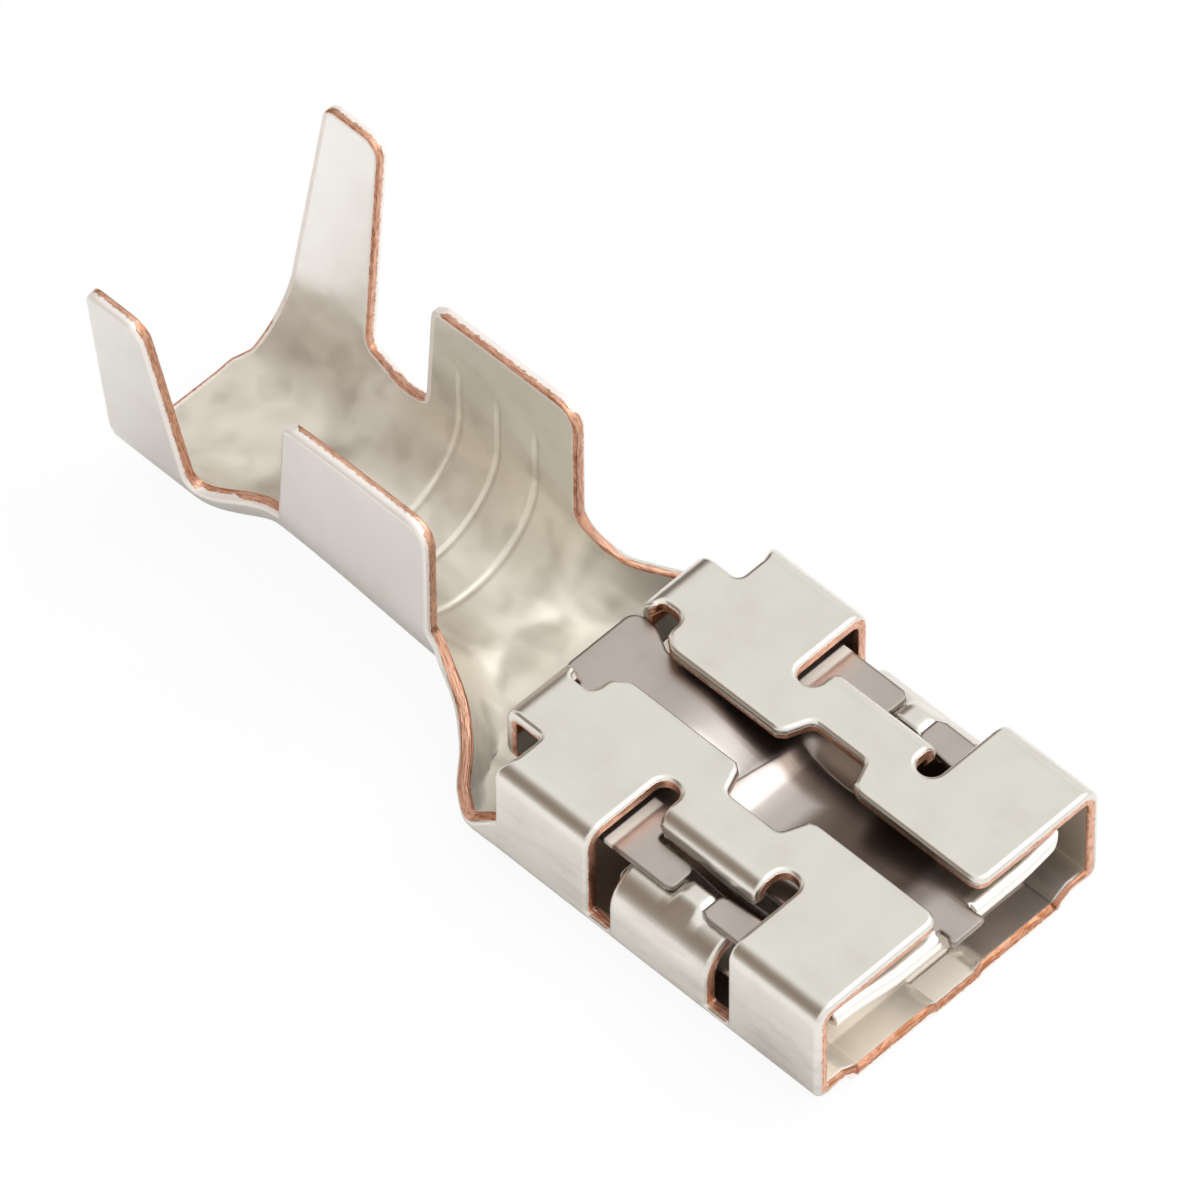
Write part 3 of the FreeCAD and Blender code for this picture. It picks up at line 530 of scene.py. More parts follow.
def fold_sheet(v):
    """The fold of the blank. Across s a path of straight runs and arcs: floor, lower bend, wall, upper bend,
    flange. Between the windows the wall curls into the cheek and the flange turns down at the waist.
    Behind the box the flange turns down along x into the closing tab, and the U sections of the neck and
    the barrels take over. An arc adds its radius times the sine of its angle ahead, and the radius less
    that times the cosine aside."""
    half, high, tall, rear = v.box_width / 2, v.top_bend, v.box_height, -v.box_length
    cheek_arc, waist_arc, tab_arc = v.cheek_bend * RIGHT, v.waist_bend * RIGHT, v.tab_bend * RIGHT

    def fold(flat):
        x, s = flat[:, 0], np.abs(flat[:, 1])
        side = np.where(flat[:, 1] < 0, -1.0, 1.0)
        # U section
        run, radius, floor, turn = section_at(x)
        arc = np.clip((s - run) / radius, 0, turn)
        beyond = np.maximum(s - run - radius * turn, 0)
        y = np.minimum(s, run) + radius * np.sin(arc) + beyond * np.cos(turn)
        z = floor + radius * (1 - np.cos(arc)) + beyond * np.sin(turn)
        # upper bend and flange of the box
        tab = between(x, rear - v.tab_end - 0.4, rear) & (s > v.s_flange - 0.05)
        box = (x >= rear - 0.3) & (s > v.s_bend) | tab
        bend = np.clip((s - v.s_bend) / high, 0, RIGHT)
        over = np.maximum(s - v.s_flange, 0)
        y = np.where(box, half - high + high * np.cos(bend) - over, y)
        z = np.where(box, tall - high + high * np.sin(bend), z)
        # cheek between the windows, with the stop on its lip
        middle = between(x, -v.rear_slot, -v.front_slot)
        cheek = middle & between(s, v.s_cheek, v.s_split)
        roll = np.clip((s - v.s_cheek) / v.cheek_bend, 0, RIGHT)
        lip = np.maximum(s - v.s_cheek - cheek_arc, 0)
        stop = band(x, *STOP_ALONG) * ramp(s, v.s_cheek + 0.9 * v.cheek_bend, v.s_cheek + 1.45 * v.cheek_bend)
        y = np.where(cheek, half - v.cheek_bend * (1 - np.cos(roll)) - lip, y)
        z = np.where(cheek, v.cheek_height - v.cheek_bend * (1 - np.sin(roll)) + STOP_RISE * stop, z)
        # turned down edge of the waist
        waist = middle & (s >= v.s_split) & (s < v.s_waist)
        roll = np.clip((v.s_waist - s) / v.waist_bend, 0, RIGHT)
        hang = np.maximum(v.s_waist - waist_arc - s, 0)
        y = np.where(waist, v.waist_half - v.waist_bend * (1 - np.sin(roll)), y)
        z = np.where(waist, tall - v.waist_bend * (1 - np.cos(roll)) - hang, z)
        # closing tab, turned down along x
        back = rear - x
        roll = np.clip((back - v.tab_flat) / v.tab_bend, 0, RIGHT)
        hang = np.maximum(back - v.tab_flat - tab_arc, 0)
        x_tab = rear - np.minimum(back, v.tab_flat) - v.tab_bend * np.sin(roll)
        z = np.where(tab, tall - v.tab_bend * (1 - np.cos(roll)) - hang, z)
        # lowered lip of the mouth: two pads and a middle channel
        level = np.interp(s, LIP_ACROSS, (v.channel_drop, v.pad_drop, v.pad_drop, 0.0))
        z = z - level * np.interp(x, LIP_ALONG, (0.0, 1.0)) * (s < v.s_low)
        return np.stack((np.where(tab, x_tab, x), y * side, z), 1)

    return fold


def serrations(v):
    """Depth of the grooves across the wire barrel: each falls away from its middle, and all fade out up the
    walls."""
    def depth(flat):
        x, s = flat[:, 0], np.abs(flat[:, 1])
        total = np.zeros(len(flat))
        for k in range(GROOVES):
            off = np.abs(x + v.groove_first + k * v.groove_pitch)
            total += v.groove_depth * (1 - ramp(off, *GROOVE_SIDE))
        return total * (1 - ramp(s, *GROOVE_END))
    return depth


def mouth_chamfer(flat):
    """Width of the lead-in chamfer on the inner edge of the mouth's lip: full on the pads, less in the
    channel."""
    x, s = flat[:, 0], np.abs(flat[:, 1])
    return CHAMFER * ramp(x, -0.2, -0.05) * (1 - ramp(s, 4.4, 4.8)) * (0.4 + 0.6 * ramp(s, 0.9, 1.4))


def copper_share(v):
    """How much of a cut edge is bare copper and how dark the painted shade on its copper is, by rules of
    which a later one goes over an earlier one. Above 1 the copper starts nearer to the outer face."""
    inner = v.flange_s(v.flange_gap / 2)

    def share(flat):
        x, s, far = flat[:, 0], np.abs(flat[:, 1]), flat[:, 1] > 0
        closing_tab = (s > v.s_flange - 0.1) & between(x, -16.5, -12.9)
        eye = between(s, inner - 1.4, inner + 0.1) & between(x, -14.6, -12.6)
        windows = (np.abs(x + v.front_slot) < 0.5) | (np.abs(x + v.rear_slot) < 0.5)
        gap = between(s, v.s_cheek_end - 0.2, v.s_waist_end + 0.2)
        wing_front = between(x, -29.1, -28.0) & (s > 4.0)
        neck = between(x, -17.8, -13.5) & (s < v.s_bend)
        value, dark = np.full(len(flat), 0.9), np.full(len(flat), 0.25)
        # each rule gives the share of bare copper and the painted shade on it: high where an edge is painted
        # dark as in shade, low where it is painted lit
        for where, amount, painted_copper_shade in (
            ((np.abs(s - inner) < 0.1) & (x > -12.9), 0.62, 0.7),  # inner edges of the flanges
            (between(s, inner - 1.1, inner - 0.02) & between(x, -8.3, -5.0), 1.0, 0.45),  # their notches
            (closing_tab, 0.6, 0.3),
            (eye, 0.3, 0.4),
            (eye & far, 1.7, 1.0),
            (windows & between(s, v.s_wall - 0.2, inner - 0.5), 1.75, 0.2),
            (gap & between(x, -v.rear_slot + 0.46, -v.front_slot - 0.46), 0.3, 0.5),  # cheek and waist
            ((x < -17.6) & (s > 2.2), 0.68, 0.3),  # both barrels
            (wing_front, 1.35, 0.35),
            (wing_front & far, 0.8, 0.35),
            (between(x, -28.35, -24.9) & between(s, 2.2, 4.6), 1.2, 0.25),  # gap between the barrels
            (between(x, -25.1, -24.4) & (s > 4.6), 0.3, 0.3),  # rear of the wire wings
            (between(x, -18.9, -17.6) & (s > 4.0), 1.3, 0.35),  # front of the wire wings
            (neck, 2.4, 0.2),
            (neck & far, 0.75, 0.2),
            (between(x, -14.15, -13.2) & (s < v.s_bend), 2.4, 0.9),  # corner of neck and box
            (x < -31.0, 0.25, 0.0),  # rear of the insulation wings
            ((x < -31.0) & (s < 3.5), 0.62, 0.0),  # tail
            ((x > -0.1) & (s < v.s_low), 0.72, 0.85),  # lip of the mouth
        ):
            value[where] = amount
            dark[where] = painted_copper_shade
        return value, dark
    return share


# --------------------------------------------------------------- the spring
STEEP, STEEP_RUN = 0.52, 1.6  # angle and length of a beam's first run behind the nose
NOSE_RISE, FRONT_RISE = 0.12, 0.1  # how far the noses and the front of the deck stand over the side tabs
NOSE_NEAR, NOSE_FAR = 0.82, 0.05  # inner end of the near nose, and the far nose's distance from the lip
SIDE_ACROSS = (2.4, 5.0)  # where the sides of the deck and of the beams bend away
SIDE_RISE, SIDE_FALL = 0.4, 0.35  # how far they do


def spring_numbers(sizes):
    """The sizes and what follows from them: the nose turns by half a circle less the steep angle, and past
    its steep run the beam tilts by the angle whose sine is the drop left over the length left."""
    v = in_millimetres(sizes)
    v.nose_start = v.nose_front - v.nose_radius
    drop = v.seat + NOSE_RISE - 2 * v.nose_radius - SHEET_THICK - v.beam_gap - STEEP_RUN * math.sin(STEEP)
    v.tilt = math.asin(drop / (v.beam_contact - STEEP_RUN))
    v.turn = math.pi - STEEP
    v.beam_start = v.nose_start + v.nose_radius * v.turn
    v.end = v.beam_start + v.beam_length
    return v


def spring_pattern(v):
    """Cut line of the spring: tongue, side tabs with their slots, beams that lie unrolled in front of the
    noses, and front lip. Each side runs from rear to front, and the near one is joined on backwards."""
    half, tab, slot, root, tip = v.half, v.tab_inner, v.slot_inner, v.beam_start, v.end

    def side(sign, lip, outer, taper, inner, notch, waist):
        """Corners of one side, at sign times s. The beams' outer edge is outer at the nose, less taper
        behind."""
        back, middle, slit = outer - taper, (inner + outer - taper) / 2, v.beam_slit / 2
        run = [
            (-v.rear, v.tongue_half, 0.5), *waist, (-12.75, 1.1, 0.1), (-12.75, half, 0.3),  # tongue
            (-6.91, half, 0.08), (-6.91, tab, 0.3), (-8.5, tab, 0.14), (-8.5, slot, 0.2),  # rear tab
            (-3.9, slot, 0.2), (-3.9, tab, 0.2), (-5.7, tab + 0.15, 0.25), (-5.7, half, 0.06),  # front tab
            (-1.2, half, 0.3), (-0.75, outer, 0.3), (v.nose_start + 0.15, outer, 0.3),  # nose
            (root + 0.2, back, 0.5), (tip, back, 0.4), (tip, middle + slit, 0.3),  # outer beam
            (root + 0.6, middle + slit, 0.16), (root + 0.6, middle - slit, 0.16),
            (tip, middle - slit, 0.3), (tip, inner, 0.4), (-0.2, inner, 0.05),  # inner beam
            (-0.2, lip - notch, 0.12), (0.2, lip - notch, 0.14), (0.27, lip, 0.1), (v.lip_reach, lip, 0.1),
        ]
        return [(x, sign * s, r) for x, s, r in run]

    far = side(1, v.lip_far, v.nose_outer - 0.75, 0.85, v.lip_far + 0.09, 0.02,
               [(-13.95, 1.55, 0.3), (-13.1, 1.1, 0.2)])
    near = side(-1, v.lip_near, v.nose_outer + 0.2, 0.05, v.nose_inner, 0.14,
                [(-14.12, 1.55, 0.05), (-14.06, 1.78, 0.08), (-13.2, 1.78, 0.2), (-12.95, 1.1, 0.1)])
    return [rounded(far + near[::-1])]


def fold_spring(v):
    """Lower face of the spring. The rear tongue stands up between the flanges and sinks to the middle strip,
    which has a trough under the flanges and a round dimple under the notches. The front edge rolls under
    into the noses on an arc and runs back as the beams, steeply first and then flatter, up to the contact
    line and up again behind it."""
    high, seat, front, deep = v.tongue_top, v.seat, v.seat + FRONT_RISE, v.middle
    inner = v.nose_radius - v.steel
    trough = np.array((
        (-14.9, high), (-11.3, high), (-10.7, high - 0.05), (-8.62, high - 0.45), (-8.42, high - 0.47),
        (-7.6, deep + 0.1), (-6.9, deep + 0.02), (-6.2, deep), (-4.6, deep + 0.17), (-3.3, deep + 0.36),
        (-2.2, seat - 0.12), (-1.7, seat), (-0.9, front), (0.6, front)))
    shelf = np.array((
        (-13.0, high), (-12.55, v.shelf), (-10.7, v.shelf), (-10.2, seat + 0.03), (-1.9, seat),
        (-1.0, front)))

    def fold(flat):
        p, y = flat[:, 0], flat[:, 1]
        wide = np.abs(y)
        inside = 1 - ramp(wide, 1.7, 2.6)
        top = smooth_line(p, *trough.T) * inside + np.interp(p, *shelf.T) * (1 - inside)
        top = top + SIDE_RISE * ramp(wide, *SIDE_ACROSS) * ramp(p, -1.4, -0.4)
        low = top - v.steel
        rolls = ((y < -NOSE_NEAR) | (y > v.lip_far + NOSE_FAR)) & (p > v.nose_start)
        angle = np.clip((p - v.nose_start) / v.nose_radius, 0, v.turn)
        back = np.maximum(p - v.beam_start, 0)
        lift = soft(back, v.beam_contact, 0.5) * (math.sin(v.tilt) + 0.16)
        flatter = soft(back, STEEP_RUN, 0.3) - soft(0.0, STEEP_RUN, 0.3)
        run = back * math.cos(STEEP) + flatter * (math.cos(v.tilt) - math.cos(STEEP))
        fall = back * math.sin(STEEP) + flatter * (math.sin(v.tilt) - math.sin(STEEP))
        level = SIDE_FALL * ramp(wide, *SIDE_ACROSS) * ramp(back, 0.0, 4.0)
        x = np.where(rolls, v.nose_start + inner * np.sin(angle) - run, p)
        z = np.where(rolls, low - inner * (1 - np.cos(angle)) - fall + lift - level, low)
        return np.stack((x, y, z), 1)

    return fold


def no_chamfer(flat):
    """The spring's edges have no chamfer."""
    return np.zeros(len(flat))


def steel_edge(flat):
    """The spring's edges are the same all round, and carry no painted shade."""
    return np.ones(len(flat)), np.zeros(len(flat))


# ------------------------------------------------------------- shader maths
class Wire:
    """A shader socket in an expression: + - * and ** add Math nodes to its tree."""

    def __init__(self, paint, socket):
        self.paint, self.socket = paint, socket

    def math(self, operation, *values, clamp=False):
        """What a Math node makes of the values."""
        settings = {"operation": operation, "use_clamp": clamp}
        return self.paint.add("ShaderNodeMath", settings, dict(enumerate(values)))

    def __add__(self, other):
        return self.math("ADD", self, other)

    __radd__ = __add__

    def __sub__(self, other):
        return self.math("SUBTRACT", self, other)

    def __rsub__(self, other):
        return self.math("SUBTRACT", other, self)

    def __mul__(self, other):
        return self.math("MULTIPLY", self, other)

    __rmul__ = __mul__

    def __pow__(self, other):
        return self.math("POWER", self, other)

    def size(self):
        """The number without its sign."""
        return self.math("ABSOLUTE", self)

    def clamp(self):
        """The number kept between 0 and 1."""
        return self.math("ADD", self, 0.0, clamp=True)

    def most(self, other):
        """The larger of the two numbers."""
        return self.math("MAXIMUM", self, other)

    def step(self, low, high):
        """0 below low and 1 above high, smooth between."""
        inputs = {"Value": self, "From Min": low, "From Max": high, "To Min": 0.0, "To Max": 1.0}
        return self.paint.add("ShaderNodeMapRange", {"interpolation_type": "SMOOTHSTEP"}, inputs)

    def fall(self, low, high):
        """1 below low and 0 above high, smooth between."""
        return 1.0 - self.step(low, high)

    def band(self, a, b, c, d):
        """A step that rises from a to b times one that falls from c to d."""
        return self.step(a, b) * self.fall(c, d)


class Paint:
    """A node tree with one call that adds any node."""

    def __init__(self, tree):
        self.tree = tree
        tree.nodes.clear()

    def add(self, kind, settings=None, inputs=None, out=0):
        """Adds a node of this type: first its settings, then the values or links of its sockets. Gives one of
        its outputs, if it has any."""
        node = self.tree.nodes.new(kind)
        for key, value in (settings or {}).items():
            setattr(node, key, value)
        for key, value in (inputs or {}).items():
            if isinstance(value, Wire):
                self.tree.links.new(value.socket, node.inputs[key])
            else:
                node.inputs[key].default_value = value
        return Wire(self, node.outputs[out]) if node.outputs else None

    def mark(self, name):
        """One of the mesh's own marks as a number."""
        return self.add("ShaderNodeAttribute", {"attribute_name": name}, out=2)

    def vector(self, x, y, z):
        """A vector of three numbers."""
        return self.add("ShaderNodeCombineXYZ", inputs={0: x, 1: y, 2: z})

    def noise(self, place, stretch, scale, detail, roughness):
        """Noise from 0 to 1 at the place, whose numbers are first multiplied by those of stretch."""
        where = self.add("ShaderNodeVectorMath", {"operation": "MULTIPLY"}, {0: place, 1: stretch})
        return self.add("ShaderNodeTexNoise",
                        inputs={"Vector": where, "Scale": scale, "Detail": detail, "Roughness": roughness})

    def blend(self, factor, a, b):
        """Colour a mixed towards colour b by the factor."""
        a, b = (tone if isinstance(tone, Wire) else opaque(tone) for tone in (a, b))
        return self.add("ShaderNodeMix", {"data_type": "RGBA"}, {0: factor, 6: a, 7: b}, out=2)

    def coats(self, base, *layers):
        """Layers of (factor, colour) over a base colour, one after the other."""
        for factor, tone in layers:
            base = self.blend(factor, base, tone)
        return base

    def bump(self, height, strength=1.0):
        """The normal that a height gives, in units of BUMP_UNIT."""
        return self.add("ShaderNodeBump",
                        inputs={"Height": height, "Distance": BUMP_UNIT, "Strength": strength})

    def metal(self, base, rough, metallic, normal):
        """A metal's shader and the material's output."""
        shader = self.add("ShaderNodeBsdfPrincipled", inputs={
            "Base Color": base, "Roughness": rough, "Metallic": metallic, "Normal": normal})
        self.add("ShaderNodeOutputMaterial", inputs={"Surface": shader})


def opaque(rgb):
    """A colour with its alpha of 1."""
    return (*rgb, 1.0)


def new_material(name):
    """A material and the paint for its empty tree."""
    material = bpy.data.materials.new(name)
    material.use_nodes = True
    return material, Paint(material.node_tree)


BUMP_UNIT = 0.00001  # height of a bump of 1, in metres


def tinned_copper(finish):
    """Satin tin with rolling streaks along the strip, tinted by place with scuffs, painted shade and painted
    light, and bare copper with shear marks and painted shade on the inner part of the cut edges. A mask is a
    product of smooth steps along and across the flat pattern, in millimetres, and in depth, which is 0 on the
    outer face and 1 on the inner one."""
    material, p = new_material("tinned_copper")
    along, across, depth, rim, painted_copper_shade = (p.mark(name) for name in ("along", "across", "depth", "rim", "painted_copper_shade"))
    wide, place = across.size(), p.vector(along, across, depth)
    cloud = p.noise(place, (1.0, 1.0, 0.6), 0.55, 3.0, 0.55)
    streak = p.noise(place, (0.25, 9.0, 1.0), 1.6, 2.0, 0.6)
    grain = p.noise(place, (2.0, 2.0, 2.0), 6.0, 2.0, 0.6)
    ragged = p.noise(place, (3.0, 3.0, 0.8), 2.2, 3.0, 0.6)
    wave = p.noise(place, (0.8, 1.0, 1.0), 0.75, 1.0, 0.3)
    shear = p.noise(place, (1.8, 1.8, 5.0), 1.5, 2.0, 0.6)
    scuff = p.noise(place, (0.5, 1.9, 1.0), 1.1, 3.0, 0.6).step(0.42, 0.72)
    smudge = p.noise(place, (0.9, 0.8, 1.0), 0.9, 1.0, 0.4).step(0.5, 0.68)
    bare = (rim + (ragged - 0.5) * 0.36).step(0.36, 0.46)
    # where on the part
    inner, box = depth.step(0.9, 1.0), along.step(-13.4, -13.1)
    outer, behind = 1.0 - inner, 1.0 - box
    hollow = inner * behind  # inner faces of the neck and the barrels
    neck = behind * along.step(-18.5, -17.0)
    # inner faces of the mouth, which are painted pale and less metallic as painted light
    mouth = inner * along.step(-3.2, -1.8)
    far = across.step(1.1, 1.4)  # past the channel of the mouth's lip
    wall = outer * wide.band(5.4, 5.9, 8.0, 9.3) * box
    foot = along.step(-3.6, -2.0) * wide.fall(6.6, 8.4)  # lower front corner of the wall, which gets painted shade
    eye = along.step(-15.6, -15.4) * wide.step(9.6, 9.9)
    nook_shade = along.step(-14.5, -13.9) * wide.band(5.2, 5.6, 7.4, 8.4)
    grip = along.fall(-28.4, -28.0) * across.step(5.0, 6.4)  # upper part of the far insulation wing, which gets painted light
    root = along.fall(-27.6, -26.4) * wide.band(3.6, 4.4, 5.0, 6.0) * across.step(0.0, 0.1)
    ends = along.fall(-18.9, -18.3).most(along.step(-0.7, -0.5) * wide.fall(5.0, 5.4))
    edge = rim.step(0.0, 0.05) * (1.0 - bare) * ends  # rounded edge above the copper
    tin = p.coats(
        finish.tin,
        (cloud.step(0.4, 0.85) * 0.2 + streak * 0.04, finish.tin_dull),
        # scuffs on the walls, and painted shade on their lower front corner
        (wall * (scuff * 0.3 + foot * 0.4), (0.52, 0.475, 0.45)),
        (inner * box * along.fall(-4.4, -3.0) * 0.85, (0.24, 0.165, 0.12)),  # painted shade inside the box
        (hollow * eye, finish.copper_deep),  # painted shade, dark copper, inside the closing tabs
        (hollow * nook_shade * 0.75, (0.26, 0.21, 0.155)),  # painted shade in the corner under the closing tabs
        # painted light: pale beige on the inner faces of the mouth
        (mouth * 0.9, (1.0, 0.91, 0.78)),
        (mouth * far * across.fall(5.2, 5.8) * 0.8, (0.55, 0.50, 0.47)),  # painted shade on the far pad of the mouth
        # painted light on the inner face of the far insulation wing's upper part
        (inner * grip * 0.8, (0.97, 0.965, 0.95)),
        (hollow * wide.fall(4.0, 6.0) * 0.3, (0.88, 0.78, 0.64)),  # painted warm light, reflected between the walls, on the floor of the barrels
        (hollow * smudge * wide.fall(5.2, 7.0) * 0.32, (0.48, 0.44, 0.37)),
        (inner * root * 0.4, (0.52, 0.46, 0.38)),  # painted shade at the foot of the far insulation wing
        (outer * along.fall(-18.6, -18.0) * wide.step(3.4, 4.4) * 0.3, (0.62, 0.615, 0.61)),  # wings outside
        (edge * 0.7, (0.98, 0.92, 0.885)),
    )
    # how dark the copper is: shear marks, a darker inner part of the cut, and the painted shade of each edge
    deep = (shear.step(0.4, 0.68) * 0.62 + depth.step(0.75, 1.0) * 0.15 + (painted_copper_shade - 0.1) * 0.7).clamp()
    copper = p.blend(deep, finish.copper, finish.copper_deep)
    rough = (finish.tin_gloss + cloud * 0.06 + streak * 0.03 + bare * 0.06
             + inner * (behind * 0.2 + neck * 0.14) + mouth * 0.1 + edge * 0.3)
    # the mouth's inner faces lose metal for their painted light
    metallic = 1.0 - mouth * (1.0 - far) * (0.9 - wide.step(0.9, 1.2) * 0.5) - edge * 0.4
    height = (wave * (hollow * 11.0 + neck * inner * 20.0 + 2.5)
              + (streak * 0.12 + grain * 0.1) * (1.0 - hollow * 0.9) + shear * bare * 3.0)
    p.metal(p.blend(bare, tin, copper), rough, metallic, p.bump(height))
    return material


def spring_steel(finish):
    """Rolled steel strip: fine streaks along the strip, soft darker patches, painted shade in the trough that
    leaves out its dimple, a painted highlight before the crease, painted shade along the crease across the
    strip, painted highlights on the rolled noses with painted shade under the far one's end, painted shade
    beside the tongue, and a painted bright reflection in the rear windows. Masks are made as on the sheet."""
    material, p = new_material("spring_steel")
    along, across, depth, rim = (p.mark(name) for name in ("along", "across", "depth", "rim"))
    wide, place = across.size(), p.vector(along, across, depth)
    cloud = p.noise(place, (1.0, 1.0, 0.3), 0.6, 3.0, 0.5)
    streak = p.noise(place, (0.3, 9.0, 1.0), 1.0, 2.0, 0.6)
    rolled = along.step(-0.55, -0.35) * (across - 0.60).most(-0.80 - across).step(0.0, 0.03)
    strip = wide.fall(1.8, 2.3) * along.band(-11.2, -9.8, -2.3, -1.6)
    dimple = (((along + 7.5) ** 2.0 + (across + 0.35) ** 2.0 * 1.1) ** 0.5).fall(0.7, 1.15)
    ahead = (along.step(-6.6, -5.9) * 0.85).most(across.step(0.35, 0.9) * 0.85)
    gleam = along.band(-10.9, -10.3, -8.75, -8.45) * across.fall(-0.75, -0.1) * wide.fall(1.7, 2.0)
    crease = (along + 8.4 - across * 0.1).size().fall(0.015, 0.04) * wide.fall(0.85, 1.0)
    glow = along.band(-9.66, -9.6, -9.36, -9.2) * wide.step(2.9, 3.0)  # painted bright reflection on the strip in the rear windows
    base = p.coats(
        finish.steel,
        (cloud.step(0.4, 0.8) * 0.3, tuple(c * 0.6 for c in finish.steel)),
        # painted shade in the trough, which leaves out the dimple
        (strip * ahead * (1.0 - dimple), (0.16, 0.12, 0.095)),
        # painted highlight on the slope before the crease
        (gleam * 0.8, (0.95, 0.92, 0.90)),
        # painted shade along the crease
        (crease * 0.8, (0.12, 0.10, 0.09)),
        # painted highlight on the rolled noses
        (rolled, (0.97, 0.95, 0.92)),
        (rolled * along.step(0.5, 0.9) * across.step(0.0, 0.1) * 0.9, (0.40, 0.35, 0.31)),  # painted shade on the under-turned end of the far nose
        (rim * 0.8 * (1.0 - rolled), (0.19, 0.155, 0.125)),
        (along.fall(-11.3, -11.0) * across.step(1.56, 1.62), (0.22, 0.10, 0.06)),  # painted brown shade on the steel beside the tongue
        # painted bright reflection in the rear windows
        (glow, (1.0, 0.92, 0.82)),
    )
    rough = finish.steel_gloss + streak * 0.1 + rim * 0.1
    # the painted reflection in the rear windows is less metallic
    p.metal(base, rough, 1.0 - glow * 0.9, p.bump(streak, 0.3))
    return material


# ---------------------------------------------------------------- operators
class CONNECTOR_OT_sheet(bpy.types.Operator):
    """Folds the tinned sheet from its flat pattern"""
    bl_idname = "connector.sheet"
    bl_label = "Folded sheet"

    def execute(self, context):
        v = sheet_numbers(context.scene.connector_sheet)
        half = spaced(SHEET_ACROSS)
        ss = np.concatenate((-half[:0:-1], half))
        sheet = plate("folded_sheet", spaced(SHEET_ALONG), ss, sheet_pattern(v), fold_sheet(v), v.thickness,
                      mouth_chamfer, copper_share(v), dent=serrations(v))
        sheet.data.materials.append(tinned_copper(context.scene.connector_finish))
        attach(sheet, "root")
        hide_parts("terminal_body")
        return {"FINISHED"}


class CONNECTOR_OT_spring(bpy.types.Operator):
    """Folds the steel spring from its flat pattern"""
    bl_idname = "connector.spring"
    bl_label = "Steel spring"

    def execute(self, context):
        v = spring_numbers(context.scene.connector_spring)
        xs = spaced([(-14.9, 0.13), (-12.2, 0.2), (-9.4, 0.11), (-6.2, 0.16), (-0.9, 0.07),
                     (v.beam_start + 0.3, 0.25), (v.end + 0.2, 0.25)])
        ss = spaced([(-5.3, 0.12), (-2.2, 0.1), (2.2, 0.12), (5.3, 0.12)])
        spring = plate("steel_spring", xs, ss, spring_pattern(v), fold_spring(v), v.steel,
                       no_chamfer, steel_edge, inset=0.1, mirror=False, roll=0.5)
        spring.data.materials.append(spring_steel(context.scene.connector_finish))
        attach(spring, "root")
        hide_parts("spring_insert")
        return {"FINISHED"}


# ---------------------------------------------------------------- the studio
FLOOR_HALF = 0.6  # half the side of the floor, in metres
FLOOR_WHITE = 0.92  # how far the camera sees the floor as plain white
WHITE = (1.0, 1.0, 1.0)
SKY_LOW, SKY_HIGH = (0.62, 0.59, 0.56), (1.06, 1.05, 1.03)

# Zones of the sky that the metal mirrors: direction, degrees within which the colour is full and beyond which
# it is gone, and the colour.
ZONES = (
    ((-0.44, 0.44, 0.78), 22.0, 48.0, (0.94, 0.93, 0.895)),  # what the flat tin mirrors
    ((-0.50, -0.62, 0.50), 12.0, 42.0, (0.25, 0.185, 0.135)),  # dark side, for the bends along the part
    ((-0.82, 0.43, 0.36), 10.0, 31.0, (0.17, 0.12, 0.09)),  # dark end, for the bends across it
    ((0.35, 0.45, 0.82), 18.0, 33.0, (2.4, 2.4, 2.4)),  # bright soft light
)
LAMP_PLACE, LAMP_SIDE, LAMP_POWER = (0.16, 0.12, 0.24), 0.08, 0.05

# The camera solved from the photograph: its turn about Z, tip and roll in radians, and the mouth's place to
# the right of it, below it and ahead of it, in millimetres.
CAMERA_TURN, CAMERA_TIP, CAMERA_ROLL = 0.781997063, 0.900636503, 0.00649985474
CAMERA_TO_MOUTH = np.array((10.5701140, 11.4403307, 487.750716))


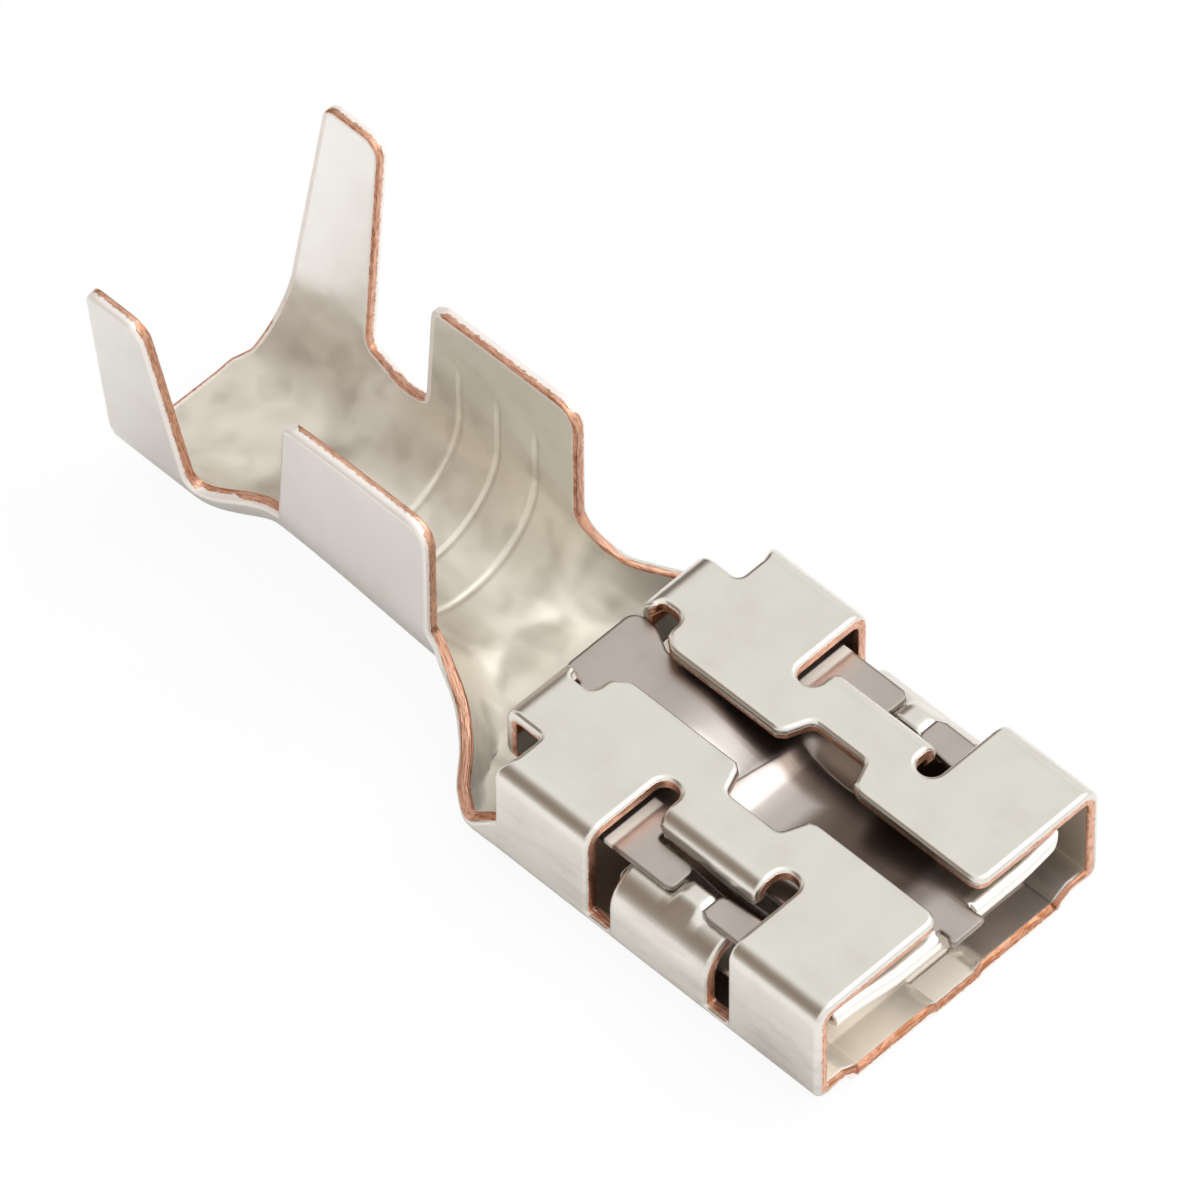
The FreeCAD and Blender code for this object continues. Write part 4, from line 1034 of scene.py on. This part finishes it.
class CONNECTOR_OT_stage(bpy.types.Operator):
    """Adds the floor, the world, the soft lamp and the camera"""
    bl_idname = "connector.stage"
    bl_label = "Studio"

    def execute(self, context):
        stage = context.scene.connector_stage
        self.floor(stage)
        self.world(context, stage)
        self.lamp()
        self.camera(context, stage)
        context.scene.view_settings.view_transform = "Standard"
        return {"FINISHED"}

    def floor(self, stage):
        """A pale square on the plane Z = 0 that the camera sees nearly white."""
        mesh = bpy.data.meshes.new("floor")
        r = FLOOR_HALF
        mesh.from_pydata([(-r, -r, 0), (r, -r, 0), (r, r, 0), (-r, r, 0)], [], [(0, 1, 2, 3)])
        floor = put("floor", mesh)
        material, p = new_material("floor")
        plain = p.add("ShaderNodeBsdfDiffuse", inputs={"Color": opaque(stage.floor)})
        white = p.add("ShaderNodeEmission", inputs={"Color": opaque(WHITE), "Strength": 1.0})
        seen = p.add("ShaderNodeLightPath", out=0)
        shader = p.add("ShaderNodeMixShader", inputs={0: seen * FLOOR_WHITE, 1: plain, 2: white})
        p.add("ShaderNodeOutputMaterial", inputs={"Surface": shader})
        mesh.materials.append(material)

    def world(self, context, stage):
        """A sky that goes from SKY_LOW to SKY_HIGH with height, with the zones over it. A zone's mask is a
        step of the cosine of the angle to its direction. The camera sees plain white instead."""
        world = bpy.data.worlds.new("studio")
        context.scene.world = world
        world.use_nodes = True
        p = Paint(world.node_tree)
        way = p.add("ShaderNodeTexCoord", out=0)
        up = p.add("ShaderNodeSeparateXYZ", inputs={0: way}, out=2)
        sky = p.blend(up.step(-0.02, 0.3), SKY_LOW, SKY_HIGH)
        for direction, full, gone, tone in ZONES:
            aim = Vector(direction).normalized()
            near = p.add("ShaderNodeVectorMath", {"operation": "DOT_PRODUCT"}, {0: way, 1: aim[:]}, out=1)
            sky = p.blend(near.step(math.cos(math.radians(gone)), math.cos(math.radians(full))), sky, tone)
        light = p.blend(p.add("ShaderNodeLightPath", out=0), sky, WHITE)
        shader = p.add("ShaderNodeBackground", inputs={"Color": light, "Strength": stage.world})
        p.add("ShaderNodeOutputWorld", inputs={"Surface": shader})

    def lamp(self):
        """A square soft lamp that faces the part."""
        data = bpy.data.lights.new("key", "AREA")
        data.shape = "RECTANGLE"
        data.size = data.size_y = LAMP_SIDE
        data.energy = LAMP_POWER
        lamp = put("key", data)
        lamp.location = LAMP_PLACE
        lamp.rotation_mode = "QUATERNION"
        lamp.rotation_quaternion = Vector(LAMP_PLACE).to_track_quat("Z", "Y")

    def camera(self, context, stage):
        """The photograph's view: turned about Z from the front, tipped down and rolled a little, from far
        away. The camera stands where its own axes carry the mouth to CAMERA_TO_MOUTH."""
        turn, tip, roll = CAMERA_TURN, CAMERA_TIP, CAMERA_ROLL
        look = np.array((-math.cos(tip) * math.sin(turn), math.cos(tip) * math.cos(turn), -math.sin(tip)))
        level = np.array((math.cos(turn), math.sin(turn), 0.0))
        under = np.cross(look, level)
        right = math.cos(roll) * level + math.sin(roll) * under
        down = -math.sin(roll) * level + math.cos(roll) * under
        place = -np.stack((right, down, look)).T @ CAMERA_TO_MOUTH * MM + MOUTH
        data = bpy.data.cameras.new("camera")
        data.sensor_width = 36.0
        data.lens = stage.lens
        data.clip_start, data.clip_end = 0.01, 10.0
        camera = put("camera", data)
        rows = [[right[k], -down[k], -look[k], place[k]] for k in range(3)]
        camera.matrix_world = Matrix(rows + [[0, 0, 0, 1]])
        context.scene.camera = camera


class CONNECTOR_PT_panel(bpy.types.Panel):
    """Lists the pieces and the studio in the sidebar"""
    bl_idname = "CONNECTOR_PT_panel"
    bl_label = "Connector"
    bl_space_type = "VIEW_3D"
    bl_region_type = "UI"
    bl_category = "Connector"

    def draw(self, context):
        scene, column = context.scene, self.layout.column()
        for operator in (CONNECTOR_OT_sheet, CONNECTOR_OT_spring, CONNECTOR_OT_stage):
            column.operator(operator.bl_idname)
        for group in (scene.connector_sheet, scene.connector_spring,
                      scene.connector_finish, scene.connector_stage):
            for name in type(group).__annotations__:
                column.prop(group, name)


CLASSES = (ConnectorSheet, ConnectorSpring, ConnectorFinish, ConnectorStage,
           CONNECTOR_OT_sheet, CONNECTOR_OT_spring, CONNECTOR_OT_stage, CONNECTOR_PT_panel)


def register():
    """Registers the classes and gives the scene its groups of sizes and colours."""
    for cls in CLASSES:
        bpy.utils.register_class(cls)
    bpy.types.Scene.connector_sheet = PointerProperty(type=ConnectorSheet)
    bpy.types.Scene.connector_spring = PointerProperty(type=ConnectorSpring)
    bpy.types.Scene.connector_finish = PointerProperty(type=ConnectorFinish)
    bpy.types.Scene.connector_stage = PointerProperty(type=ConnectorStage)


def unregister():
    """Takes the groups from the scene and the classes out again."""
    del bpy.types.Scene.connector_sheet
    del bpy.types.Scene.connector_spring
    del bpy.types.Scene.connector_finish
    del bpy.types.Scene.connector_stage
    for cls in reversed(CLASSES):
        bpy.utils.unregister_class(cls)


def main():
    register()
    bpy.ops.connector.sheet()
    bpy.ops.connector.spring()
    bpy.ops.connector.stage()


if __name__ == "__main__":
    main()
